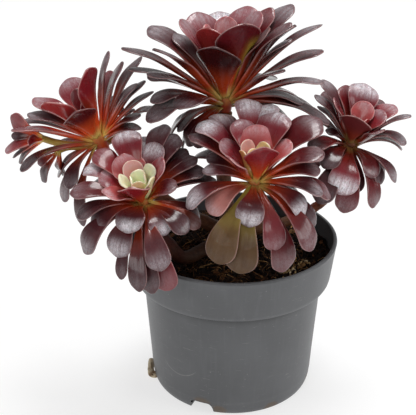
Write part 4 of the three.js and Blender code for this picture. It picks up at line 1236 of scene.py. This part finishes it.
class LeafSettings(bpy.types.PropertyGroup):
    stations: count_of("Stations", "Sections along a leaf", 36, 8)
    around: count_of("Around", "Points round a section", 28, 8)
    thickness: factor_of("Thickness", "How many times its usual thickness a leaf has", 1.25, 0.2, 2)
    wave: length_of("Edge Wave", "Height of the waves of the edges", 0.00035)
    # Frost and Bloom set how much pale bloom the leaves have and its colour; the bloom carries a painted
    # sheen.
    frost_and_sheen: factor_of("Frost", "How much pale bloom lies on the leaves", 1.0, 0, 1)
    bloom: colour_of("Bloom", "Colour of the pale bloom", (240, 236, 242))
    margin: colour_of("Margin", "Colour of the thin edge of a leaf", (226, 184, 180))
    young_margin: colour_of("Young Margin", "Colour of the edge of the leaves at the heart", (250, 236, 214))
    # Strip: painted light shining through one side of a front leaf.
    strip: colour_of("Strip", "Colour of the strip along one side of a front leaf", (172, 146, 58))
    # Neck and Root: bright colours that a rosette's glow mixes in, their own colour with painted light
    # shining through.
    neck_colour: colour_of("Neck", "Colour of a leaf's neck in a bright rosette", (226, 84, 36))
    root_colour: colour_of("Root", "Colour of a leaf's root in a bright rosette", (255, 226, 124))


class StageSettings(bpy.types.PropertyGroup):
    power: factor_of("Light", "Strength of the lamps", 1.0)
    sky: factor_of("Sky", "Strength of the white surroundings", 0.32)
    floor: colour_of("Floor", "Colour of the floor", (166, 166, 166))
    glow: factor_of("Floor Glow", "Light that the floor gives off", 0.66, 0, 1)


class AEONIUM_OT_pot(bpy.types.Operator):
    """Build the nursery pot with its drain notches"""
    bl_idname = "aeonium.pot"
    bl_label = "Pot"

    def execute(self, context):
        build_pot(context.scene.aeonium_pot)
        return {"FINISHED"}


class AEONIUM_OT_soil(bpy.types.Operator):
    """Build the bed of soil"""
    bl_idname = "aeonium.soil"
    bl_label = "Soil"

    def execute(self, context):
        build_soil(context.scene.aeonium_soil)
        return {"FINISHED"}


class AEONIUM_OT_litter(bpy.types.Operator):
    """Strew crumbs, chips and fibres on the soil"""
    bl_idname = "aeonium.litter"
    bl_label = "Litter"

    def execute(self, context):
        build_litter(context.scene.aeonium_soil)
        return {"FINISHED"}


class AEONIUM_OT_stem(bpy.types.Operator):
    """Build the trunk and its branches"""
    bl_idname = "aeonium.stem"
    bl_label = "Stem"

    def execute(self, context):
        build_stem(context.scene.aeonium_stem)
        return {"FINISHED"}


class AEONIUM_OT_root(bpy.types.Operator):
    """Build the root that grows from a drain notch"""
    bl_idname = "aeonium.root"
    bl_label = "Root"

    def execute(self, context):
        build_root(context.scene.aeonium_root)
        return {"FINISHED"}


class AEONIUM_OT_rosettes(bpy.types.Operator):
    """Build the leaves of the rosettes and side shoots"""
    bl_idname = "aeonium.rosettes"
    bl_label = "Rosettes"

    def execute(self, context):
        build_rosettes(context.scene.aeonium_leaf)
        return {"FINISHED"}


class AEONIUM_OT_stage(bpy.types.Operator):
    """Build the floor, the lights and the camera"""
    bl_idname = "aeonium.stage"
    bl_label = "Stage"

    def execute(self, context):
        build_stage(context.scene.aeonium_stage)
        return {"FINISHED"}


SETTINGS = {
    "aeonium_pot": PotSettings,
    "aeonium_soil": SoilSettings,
    "aeonium_stem": StemSettings,
    "aeonium_root": RootSettings,
    "aeonium_leaf": LeafSettings,
    "aeonium_stage": StageSettings,
}
OPERATORS = [AEONIUM_OT_pot, AEONIUM_OT_soil, AEONIUM_OT_litter, AEONIUM_OT_stem, AEONIUM_OT_root,
             AEONIUM_OT_rosettes, AEONIUM_OT_stage]


class AEONIUM_PT_panel(bpy.types.Panel):
    bl_idname = "AEONIUM_PT_panel"
    bl_label = "Aeonium"
    bl_space_type = "VIEW_3D"
    bl_region_type = "UI"
    bl_category = "Aeonium"

    def draw(self, context):
        for operator in OPERATORS:
            self.layout.operator(operator.bl_idname)
        for key, group in SETTINGS.items():
            for field in group.__annotations__:
                self.layout.prop(getattr(context.scene, key), field)


CLASSES = [*SETTINGS.values(), *OPERATORS, AEONIUM_PT_panel]


def register():
    """Register the classes and give the scene its settings."""
    for made in CLASSES:
        bpy.utils.register_class(made)
    for key, group in SETTINGS.items():
        setattr(bpy.types.Scene, key, PointerProperty(type=group))


def unregister():
    """Take the settings and the classes away again."""
    for key in SETTINGS:
        delattr(bpy.types.Scene, key)
    for made in reversed(CLASSES):
        bpy.utils.unregister_class(made)


def main():
    """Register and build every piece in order."""
    register()
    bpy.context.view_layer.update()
    for operator in OPERATORS:
        group, name = operator.bl_idname.split(".")
        getattr(getattr(bpy.ops, group), name)()


if __name__ == "__main__":
    main()
